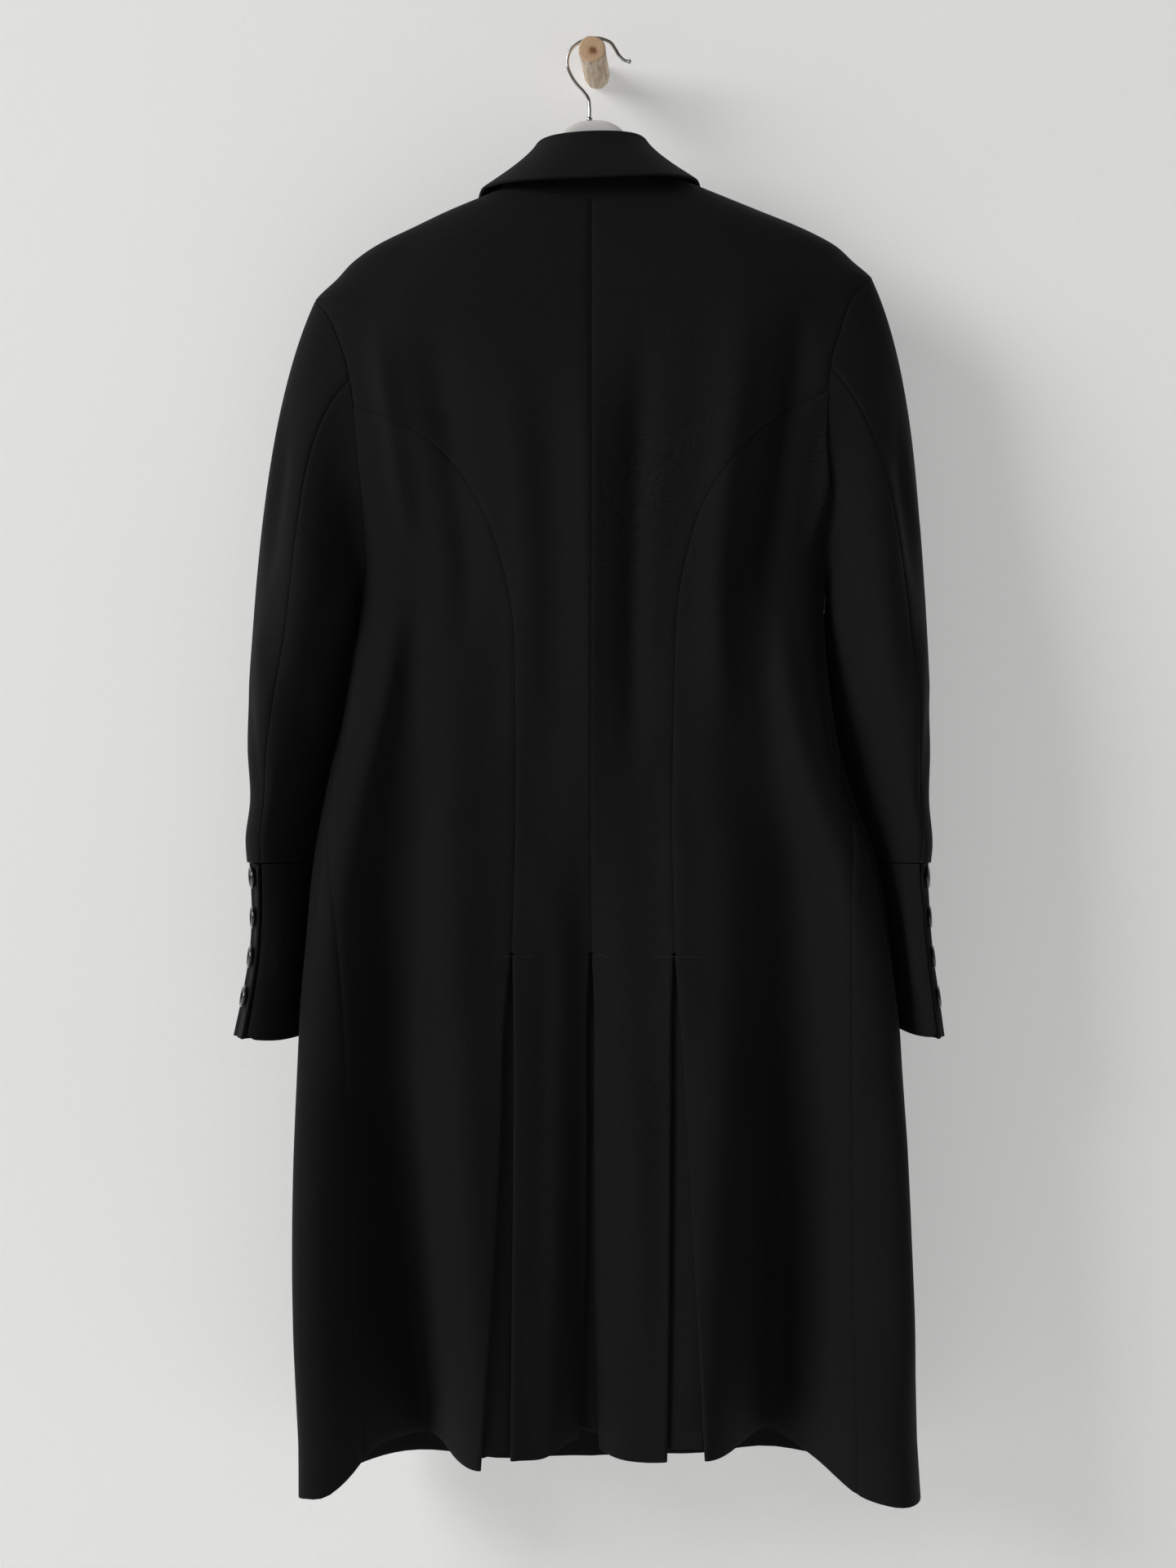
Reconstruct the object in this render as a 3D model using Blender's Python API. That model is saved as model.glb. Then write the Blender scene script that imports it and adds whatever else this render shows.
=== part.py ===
"""A long military coat of black twill, hung on a hanger from a wooden wall peg, its back outwards.

Metres, +Z up. The origin is the middle of the peg's face on the wall. The wall is the plane
Y = 0, the coat's back faces -Y and its front faces the wall. Right is +X, the wearer's right.
"Drop" is the distance below the origin. An angle goes round the coat's body: 0 at the centre
back, 90 at the right side, 180 at the centre front and -90 at the left side.
"""
import math

import bmesh
import bpy
import numpy as np
from mathutils import Matrix, Vector

# Driving sizes
CLOTH = 0.0022
SEAM_GAP = 0.0003
HALF_GAP = SEAM_GAP / 2 + 0.00002
MIDDLE = -0.005
TILT = 0.04
PLEAT_TOP = 0.787
SQUARE_ACROSS = 0.08
SQUARE_DEEP = 0.25
BOWL_DEEP = 0.40
BOWL_CORNER = 10

PEG_LENGTH = 0.104
PEG_WALL_RADIUS = 0.0116
PEG_END_RADIUS = 0.0120
PEG_LEAN = -0.0047
HANGER_DEPTH = -0.086
HOOK_WIRE = 0.0015

CUFF_BUTTON = 0.0195
BUTTON_GAP = 0.0007
BUTTON_THICKNESS = 0.18
FRONT_BUTTON = 0.025
CUFF_BUTTON_FIRST = 0.0125
CUFF_BUTTON_SPACING = 0.0343
CUFF_BUTTON_TURN = 382.0
BUTTON_RIM_TURN = 10.0
FRONT_BUTTON_DROPS = (0.225, 0.340, 0.455, 0.570, 0.685)
FRONT_LAP = 0.025
LAP_DEPTH = 0.0031
LAP_STARTS = 200.0
LAP_EASES = 12.0

COLLECTION = "military coat"


def table(columns, *rows):
    """A short table of sizes: each named column as an array, with the first column as its key"""
    names = columns.split()
    sizes = dict(zip(names, np.array(rows, float).T))
    sizes["key"] = sizes[names[0]]
    return sizes


# Half widths from the middle, the places of centre back, side and centre front, and how much the
# back is hollow between its sides, down the body
BODY = table("drop left right back side front bowl",
             (0.110, 0.057, 0.073, -0.122, -0.0900, -0.064, 0.00),
             (0.125, 0.090, 0.1105, -0.129, -0.0900, -0.058, 0.00),
             (0.140, 0.126, 0.1475, -0.135, -0.0900, -0.051, 0.00),
             (0.155, 0.157, 0.1840, -0.140, -0.0905, -0.046, 0.00),
             (0.170, 0.1875, 0.2125, -0.1435, -0.0910, -0.042, 0.00),
             (0.185, 0.2085, 0.2290, -0.147, -0.0915, -0.038, 0.00),
             (0.200, 0.2222, 0.2455, -0.150, -0.0920, -0.035, 0.00),
             (0.2187, 0.241, 0.250, -0.154, -0.0925, -0.032, 0.00),
             (0.260, 0.240, 0.249, -0.161, -0.0925, -0.028, 0.00),
             (0.350, 0.220, 0.227, -0.168, -0.0925, -0.021, 0.00),
             (0.470, 0.199, 0.2030, -0.165, -0.0925, -0.018, 0.05),
             (0.520, 0.205, 0.2035, -0.161, -0.0925, -0.017, 0.35),
             (0.580, 0.2155, 0.2095, -0.156, -0.0925, -0.017, 0.70),
             (0.640, 0.2285, 0.2225, -0.155, -0.0930, -0.017, 0.75),
             (0.700, 0.2390, 0.2445, -0.158, -0.0940, -0.018, 0.65),
             (0.787, 0.2455, 0.2590, -0.165, -0.0970, -0.019, 0.50),
             (0.900, 0.2500, 0.2670, -0.172, -0.1010, -0.021, 0.30),
             (1.050, 0.2515, 0.2740, -0.180, -0.1060, -0.024, 0.15),
             (1.250, 0.2435, 0.2830, -0.186, -0.1120, -0.028, 0.00))

# The hanging folds: where each crest or hollow runs, from the shoulder blades to the hem,
# its half width in degrees and how far it stands out (or in, if negative) at the hem
FOLDS = table("top hem width depth",
              (0.0, -1.0, 4.2, -0.036),
              (-37.0, -21.0, 7.5, 0.024),
              (-50.0, -37.0, 10.0, -0.075),
              (-74.0, -58.5, 12.0, 0.052),
              (30.0, 18.5, 7.0, 0.026),
              (50.0, 33.5, 9.5, -0.075),
              (74.0, 57.0, 13.0, 0.048),
              (-104.0, -108.0, 13.0, -0.018),
              (-140.0, -136.0, 12.0, 0.012),
              (-160.0, -162.0, 9.0, -0.022),
              (102.0, 106.0, 13.0, -0.018),
              (136.0, 133.0, 11.0, 0.013),
              (157.0, 160.0, 9.0, -0.020))
FOLD_GROWTH = table("drop share",
                    (0.14, 0.00), (0.24, 0.05), (0.40, 0.07), (0.52, 0.10), (0.64, 0.19),
                    (0.787, 0.38), (0.95, 0.60), (1.10, 0.80), (1.25, 1.00))

# The hem's drop round the coat
HEM = table("angle drop",
            (-180, 1.2420), (-160, 1.2395), (-145, 1.2365), (-128, 1.2430), (-110, 1.2460),
            (-90, 1.2470), (-72, 1.2465), (-60, 1.2425), (-54, 1.2385), (-51, 1.2270),
            (-48, 1.2100), (-42, 1.2040), (-36, 1.2055), (-31, 1.2075), (-27, 1.2145),
            (-21, 1.2192), (-15, 1.2125), (-9, 1.2118), (-3, 1.2010), (3, 1.2120),
            (9, 1.2145), (15, 1.2110), (21, 1.2100), (27, 1.2045), (33, 1.2000),
            (37, 1.2075), (42, 1.2195), (48, 1.2405), (54, 1.2480), (66, 1.2480),
            (90, 1.2470), (115, 1.2460), (133, 1.2430), (150, 1.2315), (165, 1.2375),
            (180, 1.2420))

# The seams that run down the body: the drop and the distance from the origin at each row
PRINCESS = {
    "left": table("row x drop",
                  (0, -0.2102, 0.3157), (1, -0.1775, 0.3274), (2, -0.1473, 0.3451),
                  (3, -0.1210, 0.3718), (4, -0.0979, 0.4081), (5, -0.0764, 0.4738),
                  (6, -0.0705, 0.5795), (7, -0.0704, 0.6700), (8, -0.0730, 0.7870)),
    "right": table("row x drop",
                   (0, 0.1999, 0.3017), (1, 0.1693, 0.3178), (2, 0.1358, 0.3402),
                   (3, 0.1093, 0.3686), (4, 0.0928, 0.3950), (5, 0.0731, 0.4571),
                   (6, 0.0650, 0.5795), (7, 0.0640, 0.6700), (8, 0.0658, 0.7870)),
}
SIDE_SEAM = table("drop left right",
                  (0.470, 90.0, 90.0), (0.580, 85.0, 84.0), (0.700, 64.0, 61.0),
                  (0.787, 57.5, 55.5), (0.900, 53.5, 52.5), (1.050, 50.5, 50.0),
                  (1.250, 48.5, 48.0))
ARMHOLE = {
    "left": table("row x drop scoop",
                  (0, 0.2460, 0.2187, 0.000), (1, 0.2350, 0.2325, 0.001), (2, 0.2225, 0.2600, 0.004),
                  (3, 0.2102, 0.3157, 0.009), (4, 0.2065, 0.3500, 0.011), (5, 0.2010, 0.3950, 0.011),
                  (6, 0.1980, 0.4350, 0.007), (7, 0.1985, 0.4580, 0.002), (8, 0.2030, 0.4700, 0.000)),
    "right": table("row x drop scoop",
                   (0, 0.2397, 0.1990, 0.000), (1, 0.2240, 0.2150, 0.001), (2, 0.2085, 0.2560, 0.004),
                   (3, 0.1999, 0.3017, 0.009), (4, 0.1955, 0.3480, 0.011), (5, 0.1945, 0.3950, 0.011),
                   (6, 0.1935, 0.4330, 0.007), (7, 0.1945, 0.4560, 0.002), (8, 0.1985, 0.4680, 0.000)),
}
NECK_POINT = {"left": 0.1205, "right": 0.1125}
NECK_BACK = 0.1357
NECK_FRONT = 0.195

# The three inverted pleats: the places of the two folded edges and how far each return opens
PLEATS = {
    "left": table("drop first second first_open second_open",
                  (0.787, -0.0732, -0.0728, 0.00, 0.00), (0.827, -0.0775, -0.0718, 0.00, 0.01),
                  (0.950, -0.0812, -0.0714, 0.01, 0.03), (1.110, -0.0898, -0.0722, 0.03, 0.05),
                  (1.250, -0.1010, -0.0724, 0.05, 0.08)),
    "middle": table("drop first second first_open second_open",
                    (0.787, -0.0060, -0.0056, 0.00, 0.00), (0.827, -0.0076, -0.0040, 0.02, 0.02),
                    (0.950, -0.0078, -0.0040, 0.05, 0.05), (1.110, -0.0100, -0.0032, 0.09, 0.09),
                    (1.250, -0.0170, 0.0006, 0.14, 0.14)),
    "right": table("drop first second first_open second_open",
                   (0.787, 0.0656, 0.0660, 0.00, 0.00), (0.827, 0.0640, 0.0695, 0.01, 0.00),
                   (0.950, 0.0622, 0.0757, 0.03, 0.01), (1.110, 0.0603, 0.0842, 0.05, 0.03),
                   (1.250, 0.0566, 0.0930, 0.08, 0.05)),
}
FOLD_RADIUS = 0.0014
FOLD_TURNS = (60, 120, 180)
PLEAT_GAP = 0.0008
UNDERLAY_ABOVE = 0.008
UNDERLAY_SHORT = 0.010

# The sleeves: the inner and outer sides as distances from the origin's plane, and back and front
SLEEVE = {
    "left": table("drop inner outer back front",
                  (0.500, 0.2105, 0.2998, -0.163, -0.024), (0.560, 0.2158, 0.3020, -0.163, -0.022),
                  (0.610, 0.2230, 0.3020, -0.162, -0.022), (0.655, 0.2325, 0.2995, -0.160, -0.024),
                  (0.690, 0.2384, 0.3035, -0.158, -0.026),
                  (0.712, 0.2407, 0.3020, -0.158, -0.026), (0.750, 0.2443, 0.3005, -0.158, -0.027),
                  (0.787, 0.2464, 0.3025, -0.158, -0.028), (0.823, 0.2479, 0.3085, -0.159, -0.029),
                  (0.860, 0.2497, 0.3165, -0.159, -0.030)),
    "right": table("drop inner outer back front",
                   (0.500, 0.1995, 0.2870, -0.163, -0.024), (0.560, 0.1999, 0.2880, -0.163, -0.022),
                   (0.610, 0.2063, 0.2875, -0.163, -0.022), (0.655, 0.2189, 0.2858, -0.163, -0.024),
                   (0.695, 0.2336, 0.2885, -0.163, -0.026),
                   (0.712, 0.2376, 0.2870, -0.163, -0.026), (0.750, 0.2453, 0.2885, -0.163, -0.027),
                   (0.787, 0.2496, 0.2915, -0.163, -0.028), (0.823, 0.2527, 0.2965, -0.163, -0.029),
                   (0.860, 0.2551, 0.3015, -0.163, -0.030)),
}
SLEEVE_LEAN = table("drop turn", (0.500, 5), (0.560, 20), (0.610, 30), (0.700, 34), (0.760, 30),
                    (0.860, 29))
SLEEVE_RING = 0.500
ARMHOLE_SHARE = 0.40
SLEEVE_PULL = 0.85
ELBOW_SEAM = {
    "left": table("reach turn", (0.0, 67.0), (0.40, 77.0), (0.60, 66.0), (0.80, 56.0), (1.0, 58.0)),
    "right": table("reach turn", (0.0, 67.0), (0.40, 57.0), (0.60, 47.0), (0.80, 44.0), (1.0, 58.0)),
}
FRONT_SEAM_TURN = -108.0
LEAVE_SLOPE = table("turn slope", (-180, 60), (-90, 38), (0, 65), (90, 38), (180, 60))
CUFF_TOP = 0.7085
CUFF_BOTTOM = {"left": (0.8590, 0.0), "right": (0.8550, 0.0045)}
CUFF_EDGE_TURN = 60.0
CUFF_UNDERLAP = 4.0
CUFF_INSET = 0.0050
CUFF_DIP_STARTS = 350.0
CUFF_DIP_EASES = 15.0

# The collar: the roll line's half width, and the fall's edge round the neck
ROLL_HALF_WIDTH = 0.0455
ROLL_BACK = -0.1180
ROLL_FRONT = -0.0420
ROLL_DROP = 0.0790
ROLL_FRONT_DROP = 0.155
ROLL_RADIUS = 0.0030
STAND_BULGE = -0.001
FALL_BULGE = 0.0005
FALL_MIDDLE = -0.0066
FALL_PULL = 0.7
STAND_END = 0.0015
ROLL_TURNS = (0, 50, 100, 150)
COLLAR_END = 177.0
FALL_EDGE = table("turn out y drop",
                  (0, 0.000, -0.1500, 0.1205), (25, 0.039, -0.1475, 0.1200),
                  (45, 0.065, -0.1380, 0.1190), (65, 0.083, -0.1200, 0.1180),
                  (90, 0.0955, -0.0880, 0.1185), (105, 0.0990, -0.0640, 0.1285),
                  (120, 0.1000, -0.0440, 0.1480), (150, 0.0920, -0.0290, 0.2000),
                  (180, 0.0780, -0.0225, 0.2430))

# The hanger: its top edge and section along one arm
HANGER = table("out drop high deep",
               (0.000, 0.0582, 0.010, 0.0050), (0.014, 0.0602, 0.010, 0.0050),
               (0.026, 0.0690, 0.009, 0.0055), (0.036, 0.0880, 0.007, 0.0060),
               (0.052, 0.1140, 0.007, 0.0070), (0.080, 0.1320, 0.007, 0.0080),
               (0.130, 0.1520, 0.007, 0.0090), (0.180, 0.1760, 0.006, 0.0100),
               (0.205, 0.1940, 0.005, 0.0090))
HANGER_REST = (0.075, 0.110)
HANGER_GAP = 0.0016
HOOK = table("row x z",
             (0, -0.0068, -0.0578), (1, -0.0068, -0.0460), (2, -0.0080, -0.0388), (3, -0.0116, -0.0337),
             (4, -0.0182, -0.0264), (5, -0.0233, -0.0183), (6, -0.0262, -0.0103), (7, -0.0255, -0.0015),
             (8, -0.0219, 0.0051), (9, -0.0153, 0.0102), (10, -0.0052, 0.0138), (11, 0.0059, 0.0126),
             (12, 0.0118, 0.0098), (13, 0.0162, 0.0036), (14, 0.0199, -0.0022), (15, 0.0242, -0.0059),
             (16, 0.0272, -0.0066))

# How many faces each stretch has
SHOULDER_STEPS = 6
BACK_NECK_STEPS = 6
FRONT_NECK_STEPS = 9
ARM_TOP_STEPS = 5
ARM_BACK_STEPS = 8
ARM_FRONT_LOW_STEPS = 4
ARM_FRONT_HIGH_STEPS = 7
ARM_CROWD = 1.35
NECK_CROWD = 1.5
FRONT_CROWD = 1.4
NECK_FADE = 3
SKIRT_STEPS = 9
SLEEVE_HEAD_STEPS = 7
SLEEVE_LOW_STEPS = 8
CUFF_STEPS = 26
SIDE_STOPS = np.array([0, 0.08, 0.16, 0.25, 0.34, 0.44, 0.56, 0.70, 0.85, 0.992, 1.0])
PRINCESS_STOPS = np.array([0, 0.065, 0.13, 0.195, 0.26, 0.33, 0.42, 0.55, 0.76, 0.995, 1.0])


def read(sizes, column, at):
    """A column of a table at any value of its key, on a smooth curve through the rows"""
    keys, values = sizes["key"], sizes[column]
    slopes = np.gradient(values, keys)
    at = np.clip(np.asarray(at, float), keys[0], keys[-1])
    cell = np.clip(np.searchsorted(keys, at, side="right") - 1, 0, len(keys) - 2)
    span = keys[cell + 1] - keys[cell]
    t = (at - keys[cell]) / span
    return ((1 + 2 * t) * (1 - t) ** 2 * values[cell] + t * (1 - t) ** 2 * span * slopes[cell]
            + t * t * (3 - 2 * t) * values[cell + 1] + t * t * (t - 1) * span * slopes[cell + 1])


def ease(value):
    """A soft step from 0 to 1"""
    value = np.clip(value, 0.0, 1.0)
    return value * value * (3 - 2 * value)


def unit(vectors):
    """Vectors of length 1"""
    return vectors / np.linalg.norm(vectors, axis=-1, keepdims=True)


def sign_of(side):
    """-1 for the left side and 1 for the right"""
    return -1.0 if side == "left" else 1.0


def stretch(sizes, columns):
    """A table's rows keyed by the length along them, from 0 to 1"""
    points = np.stack([sizes[name] for name in columns], axis=-1)
    lengths = np.concatenate([[0], np.cumsum(np.linalg.norm(np.diff(points, axis=0), axis=1))])
    path = {name: sizes[name] for name in sizes if name != "key"}
    path["key"] = lengths / lengths[-1]
    return path


# The body's surface

def half_width(sine, drop):
    return np.where(sine < 0, read(BODY, "left", drop), read(BODY, "right", drop))


def body_ring(angle, drop):
    """The body without its folds, at one height"""
    turn = np.radians(angle)
    sine, cosine = np.sin(turn), np.cos(turn)
    x = MIDDLE + half_width(sine, drop) * sine * (1 + SQUARE_ACROSS * cosine ** 2)
    side = read(BODY, "side", drop)
    reach = np.where(cosine > 0, read(BODY, "back", drop), read(BODY, "front", drop)) - side
    rounded = np.abs(cosine) * (1 + SQUARE_DEEP * sine ** 2)
    hollow = np.sqrt(np.clip(1 - sine ** BOWL_CORNER, 0, 1)) * (1 + BOWL_DEEP * sine ** 2)
    share = np.where(cosine > 0, read(BODY, "bowl", drop), 0)
    return x, side + reach * (rounded + (hollow - rounded) * share)


def fold_height(angle, drop):
    """How far the folds stand out of the ring"""
    share = np.clip((np.asarray(drop) - 0.2) / 1.0, 0, 1)
    total = np.zeros(np.broadcast(angle, drop).shape)
    for top, hem, width, depth in zip(FOLDS["top"], FOLDS["hem"], FOLDS["width"], FOLDS["depth"]):
        away = (angle - (top + (hem - top) * share) + 180) % 360 - 180
        total = total + depth * np.exp(-(away / width) ** 2)
    return total * read(FOLD_GROWTH, "share", drop)


def body_point(angle, drop):
    """The outer face of the coat's body"""
    angle, drop = np.broadcast_arrays(np.asarray(angle, float), np.asarray(drop, float))
    x, y = body_ring(angle, drop)
    ahead, behind = body_ring(angle + 0.5, drop), body_ring(angle - 0.5, drop)
    along = unit(np.stack([ahead[0] - behind[0], ahead[1] - behind[1]], axis=-1))
    height = fold_height(angle, drop)
    return np.stack([x + along[..., 1] * height, y - along[..., 0] * height, -drop], axis=-1)


def body_normal(angle, drop):
    """The direction out of the body's surface"""
    across = body_point(angle + 0.3, drop) - body_point(angle - 0.3, drop)
    down = body_point(angle, drop + 0.001) - body_point(angle, drop - 0.001)
    return unit(np.cross(down, across))


def angle_at(x, drop, front=False):
    """The angle at which the body's ring has a given x"""
    x = np.asarray(x, float)
    share = np.clip((x - MIDDLE) / half_width(x - MIDDLE, drop), -1, 1)
    sine = share.copy()
    for _ in range(12):
        excess = sine + SQUARE_ACROSS * sine * (1 - sine ** 2) - share
        sine = sine - excess / (1 + SQUARE_ACROSS - 3 * SQUARE_ACROSS * sine ** 2)
    angle = np.degrees(np.arcsin(np.clip(sine, -1, 1)))
    return np.where(x < MIDDLE, -180 - angle, 180 - angle) if front else angle


def hem_drop(angle):
    return read(HEM, "drop", (np.asarray(angle) + 180) % 360 - 180)


# The lines on the body where its pieces meet, each as angles and drops

def armhole_stops(steps_top, steps_back):
    """Places down the back armhole: to the elbow seam, to the princess seam and to the armpit"""
    keys = stretch(ARMHOLE["left"], ("x", "drop"))["key"]
    elbow = keys[2] + 0.6 * (keys[3] - keys[2])
    return np.concatenate([elbow * np.linspace(0, 1, steps_top + 1) ** ARM_CROWD, [keys[3]],
                           np.linspace(keys[3], 1, steps_back + 1)[1:]])


def armhole(side, stops, front=False):
    """Angles and drops down the armhole, from the shoulder point to the armpit"""
    path = stretch(ARMHOLE[side], ("x", "drop"))
    path["key"] = stretch(ARMHOLE["left"], ("x", "drop"))["key"]
    drop = read(path, "drop", stops)
    out = read(path, "x", stops) - (read(path, "scoop", stops) if front else 0)
    angle = angle_at(sign_of(side) * out, drop, front)
    ends = (np.asarray(stops) < 0.0001) | (np.asarray(stops) > 0.9999)
    return np.where(ends, sign_of(side) * 90, angle), drop


def shoulder(side, stops):
    """The shoulder seam, from the neck point to the shoulder point"""
    end = ARMHOLE[side]["drop"][0]
    drop = NECK_POINT[side] + (end - NECK_POINT[side]) * np.asarray(stops, float)
    return np.full(drop.shape, sign_of(side) * 90), drop


def back_neck(side, stops):
    """The back neckline, from the centre back to the neck point"""
    stops = np.asarray(stops, float)
    drop = NECK_BACK + (NECK_POINT[side] - NECK_BACK) * np.sin(np.radians(90 * stops)) ** 2
    return sign_of(side) * 90 * stops, drop


def front_neck_stops():
    """Places along the front neckline, with one where the other front's lap ends"""
    return np.append(0.82 * np.linspace(0, 1, FRONT_NECK_STEPS) ** NECK_CROWD, 1.0)


def front_neck(side, stops):
    """The front neckline, from the neck point to the centre front"""
    stops = np.asarray(stops, float)
    turn = np.radians(90 * stops)
    neck = NECK_POINT[side]
    drop = neck + (NECK_FRONT - neck) * np.sin(turn)
    reach = half_width(sign_of(side), neck) * np.cos(turn)
    angle = angle_at(MIDDLE + sign_of(side) * reach, drop, front=True)
    angle = np.where(stops < 0.0001, sign_of(side) * 90, angle)
    return np.where(stops > 0.9999, sign_of(side) * 180, angle), drop


def princess(side, stops):
    """The curved seam from the armhole to the top of the pleats"""
    path = stretch(PRINCESS[side], ("x", "drop"))
    drop = read(path, "drop", stops)
    return angle_at(read(path, "x", stops), drop), drop


def side_seam(side, drop):
    return sign_of(side) * read(SIDE_SEAM, side, drop), drop


# Walls of cloth

def patch(top, bottom, left, right, fade=1):
    """Angles and drops inside four border lines that share their corners; the top's own shape
    fades out down the patch, the faster the higher its fade"""
    top, bottom, left, right = (np.stack(line, axis=-1) for line in (top, bottom, left, right))
    across = np.concatenate([[0], np.cumsum(np.linalg.norm(np.diff(bottom, axis=0), axis=1))])
    across = (across / across[-1])[:, None]
    down = (left[:, 1] - left[0, 1]) / (left[-1, 1] - left[0, 1])
    down = down[:, None, None]
    grid = (1 - across) * left[:, None] + across * right[:, None]
    grid = grid + (1 - down) ** fade * (top - (1 - across) * top[0] - across * top[-1])
    grid = grid + down * (bottom - (1 - across) * bottom[0] - across * bottom[-1])
    return grid[..., 0], grid[..., 1]


def line_steps(points):
    """The direction of a line of points at each point"""
    return unit(np.gradient(points, axis=0))


def set_back(points, normals, border, amount):
    """Moves one border of a grid inwards along the surface"""
    rows = {"top": (0, slice(None)), "bottom": (-1, slice(None)),
            "left": (slice(None), 0), "right": (slice(None), -1)}
    nexts = {"top": (1, slice(None)), "bottom": (-2, slice(None)),
             "left": (slice(None), 1), "right": (slice(None), -2)}
    edge, inside = points[rows[border]], points[nexts[border]]
    inward = unit(np.cross(normals[rows[border]], line_steps(edge)))
    facing = np.sign(np.sum(inward * (inside - edge), axis=-1, keepdims=True))
    amounts = np.broadcast_to(np.asarray(amount, float), (len(edge),))[:, None]
    return inward * facing * amounts


def wall(name, outer, inner, cells, material, collection):
    """A closed wall between an outer and an inner grid of points, where cells is true"""
    rows, columns = cells.shape
    mesh = bmesh.new()
    corners = {}

    def corner(layer, row, column):
        key = (layer, row, column)
        if key not in corners:
            source = outer if layer == 0 else inner
            corners[key] = mesh.verts.new(source[row, column])
        return corners[key]

    def filled(row, column):
        return 0 <= row < rows and 0 <= column < columns and cells[row, column]

    for row in range(rows):
        for column in range(columns):
            if not cells[row, column]:
                continue
            loop = [(row, column), (row + 1, column), (row + 1, column + 1), (row, column + 1)]
            mesh.faces.new([corner(0, *place) for place in loop])
            mesh.faces.new([corner(1, *place) for place in reversed(loop)])
            neighbours = [(row, column - 1), (row + 1, column), (row, column + 1), (row - 1, column)]
            for step, neighbour in enumerate(neighbours):
                if not filled(*neighbour):
                    start, end = loop[step], loop[(step + 1) % 4]
                    mesh.faces.new([corner(0, *end), corner(0, *start), corner(1, *start),
                                    corner(1, *end)])
    if mesh.calc_volume(signed=True) < 0:
        bmesh.ops.reverse_faces(mesh, faces=mesh.faces)
    bmesh.ops.triangulate(mesh, faces=mesh.faces, quad_method="SHORT_EDGE")
    return finish(name, mesh, material, collection)


def finish(name, mesh, material, collection):
    """Turns a bmesh into a named object with its material"""
    data = bpy.data.meshes.new(name)
    mesh.to_mesh(data)
    mesh.free()
    data.materials.append(material)
    data.shade_smooth()
    data.set_sharp_from_angle(angle=math.radians(40))
    part = bpy.data.objects.new(name, data)
    collection.objects.link(part)
    return part


def seam_normals(first, second):
    """A shared direction, and its length, for the edges of two surfaces that meet at a corner"""
    middle = unit(first + second)
    lean = np.clip(np.sum(middle * first, axis=-1, keepdims=True), 0.62, 1.0)
    return middle / lean


def body_panel(angles, drops, borders, shared=None, lift=None):
    """Outer and inner points of a panel of the body, set back at its sewn borders"""
    normals = body_normal(angles, drops)
    outer = body_point(angles, drops)
    if lift is not None:
        outer = outer + normals * lift[..., None]
    moved = np.zeros_like(outer)
    for border, amount in borders.items():
        index = {"top": (0, slice(None)), "bottom": (-1, slice(None)),
                 "left": (slice(None), 0), "right": (slice(None), -1)}[border]
        moved[index] += set_back(outer, normals, border, amount)
    depth = normals.copy()
    for place, direction in (shared or {}).items():
        depth[place] = direction
    return outer + moved, outer + moved - depth * CLOTH, normals


def add_return(outer, inner, normals, first_row, edge, openings):
    """Turns a pleat's edge back behind the panel: round the fold, then along the panel's columns"""
    columns = [-1, -2, -3] if edge == "right" else [0, 1, 2]
    start, normal = outer[:, columns[0]], normals[:, columns[0]]
    ahead = start - outer[:, columns[1]]
    ahead = unit(ahead - normal * np.sum(ahead * normal, axis=-1, keepdims=True))
    middle = start - normal * (CLOTH / 2 + FOLD_RADIUS)
    outer_extra, inner_extra = [], []
    for turn in np.radians(FOLD_TURNS):
        out = normal * math.cos(turn) + ahead * math.sin(turn)
        outer_extra.append(middle + out * (FOLD_RADIUS + CLOTH / 2))
        inner_extra.append(middle + out * (FOLD_RADIUS - CLOTH / 2))
    behind = [outer_extra[-1] + ahead * 0.002 - normal * (PLEAT_GAP + CLOTH / 2)]
    facings = [normal]
    gone = np.zeros(len(outer))
    for before, column in zip(columns, columns[1:]):
        gone = gone + np.linalg.norm(outer[:, column] - outer[:, before], axis=-1)
        facing = normals[:, column]
        depth = CLOTH / 2 + 2 * FOLD_RADIUS + openings * gone
        centre = outer[:, column] - facing * depth[:, None]
        outer_extra.append(centre - facing * CLOTH / 2)
        inner_extra.append(centre + facing * CLOTH / 2)
        behind.append(outer_extra[-1] - facing * (PLEAT_GAP + CLOTH / 2))
        facings.append(facing)
    outer_extra, inner_extra = np.stack(outer_extra, axis=1), np.stack(inner_extra, axis=1)
    if edge == "right":
        outer = np.concatenate([outer, outer_extra], axis=1)
        inner = np.concatenate([inner, inner_extra], axis=1)
    else:
        outer = np.concatenate([outer_extra[:, ::-1], outer], axis=1)
        inner = np.concatenate([inner_extra[:, ::-1], inner], axis=1)
    added = np.zeros((len(outer) - 1, outer_extra.shape[1]), bool)
    added[first_row:] = True
    behind = np.stack([np.stack(behind, axis=1), np.stack(facings, axis=1)])
    return outer, inner, added, behind[:, first_row:]


def pleat_edge_angle(pleat, which, drop):
    """The angle of a pleat's folded edge, short of the fold's own roundness"""
    lean = 1 if which == "first" else -1
    x = read(PLEATS[pleat], which, drop) - lean * (FOLD_RADIUS + CLOTH / 2 + HALF_GAP)
    return angle_at(x, drop)


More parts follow.
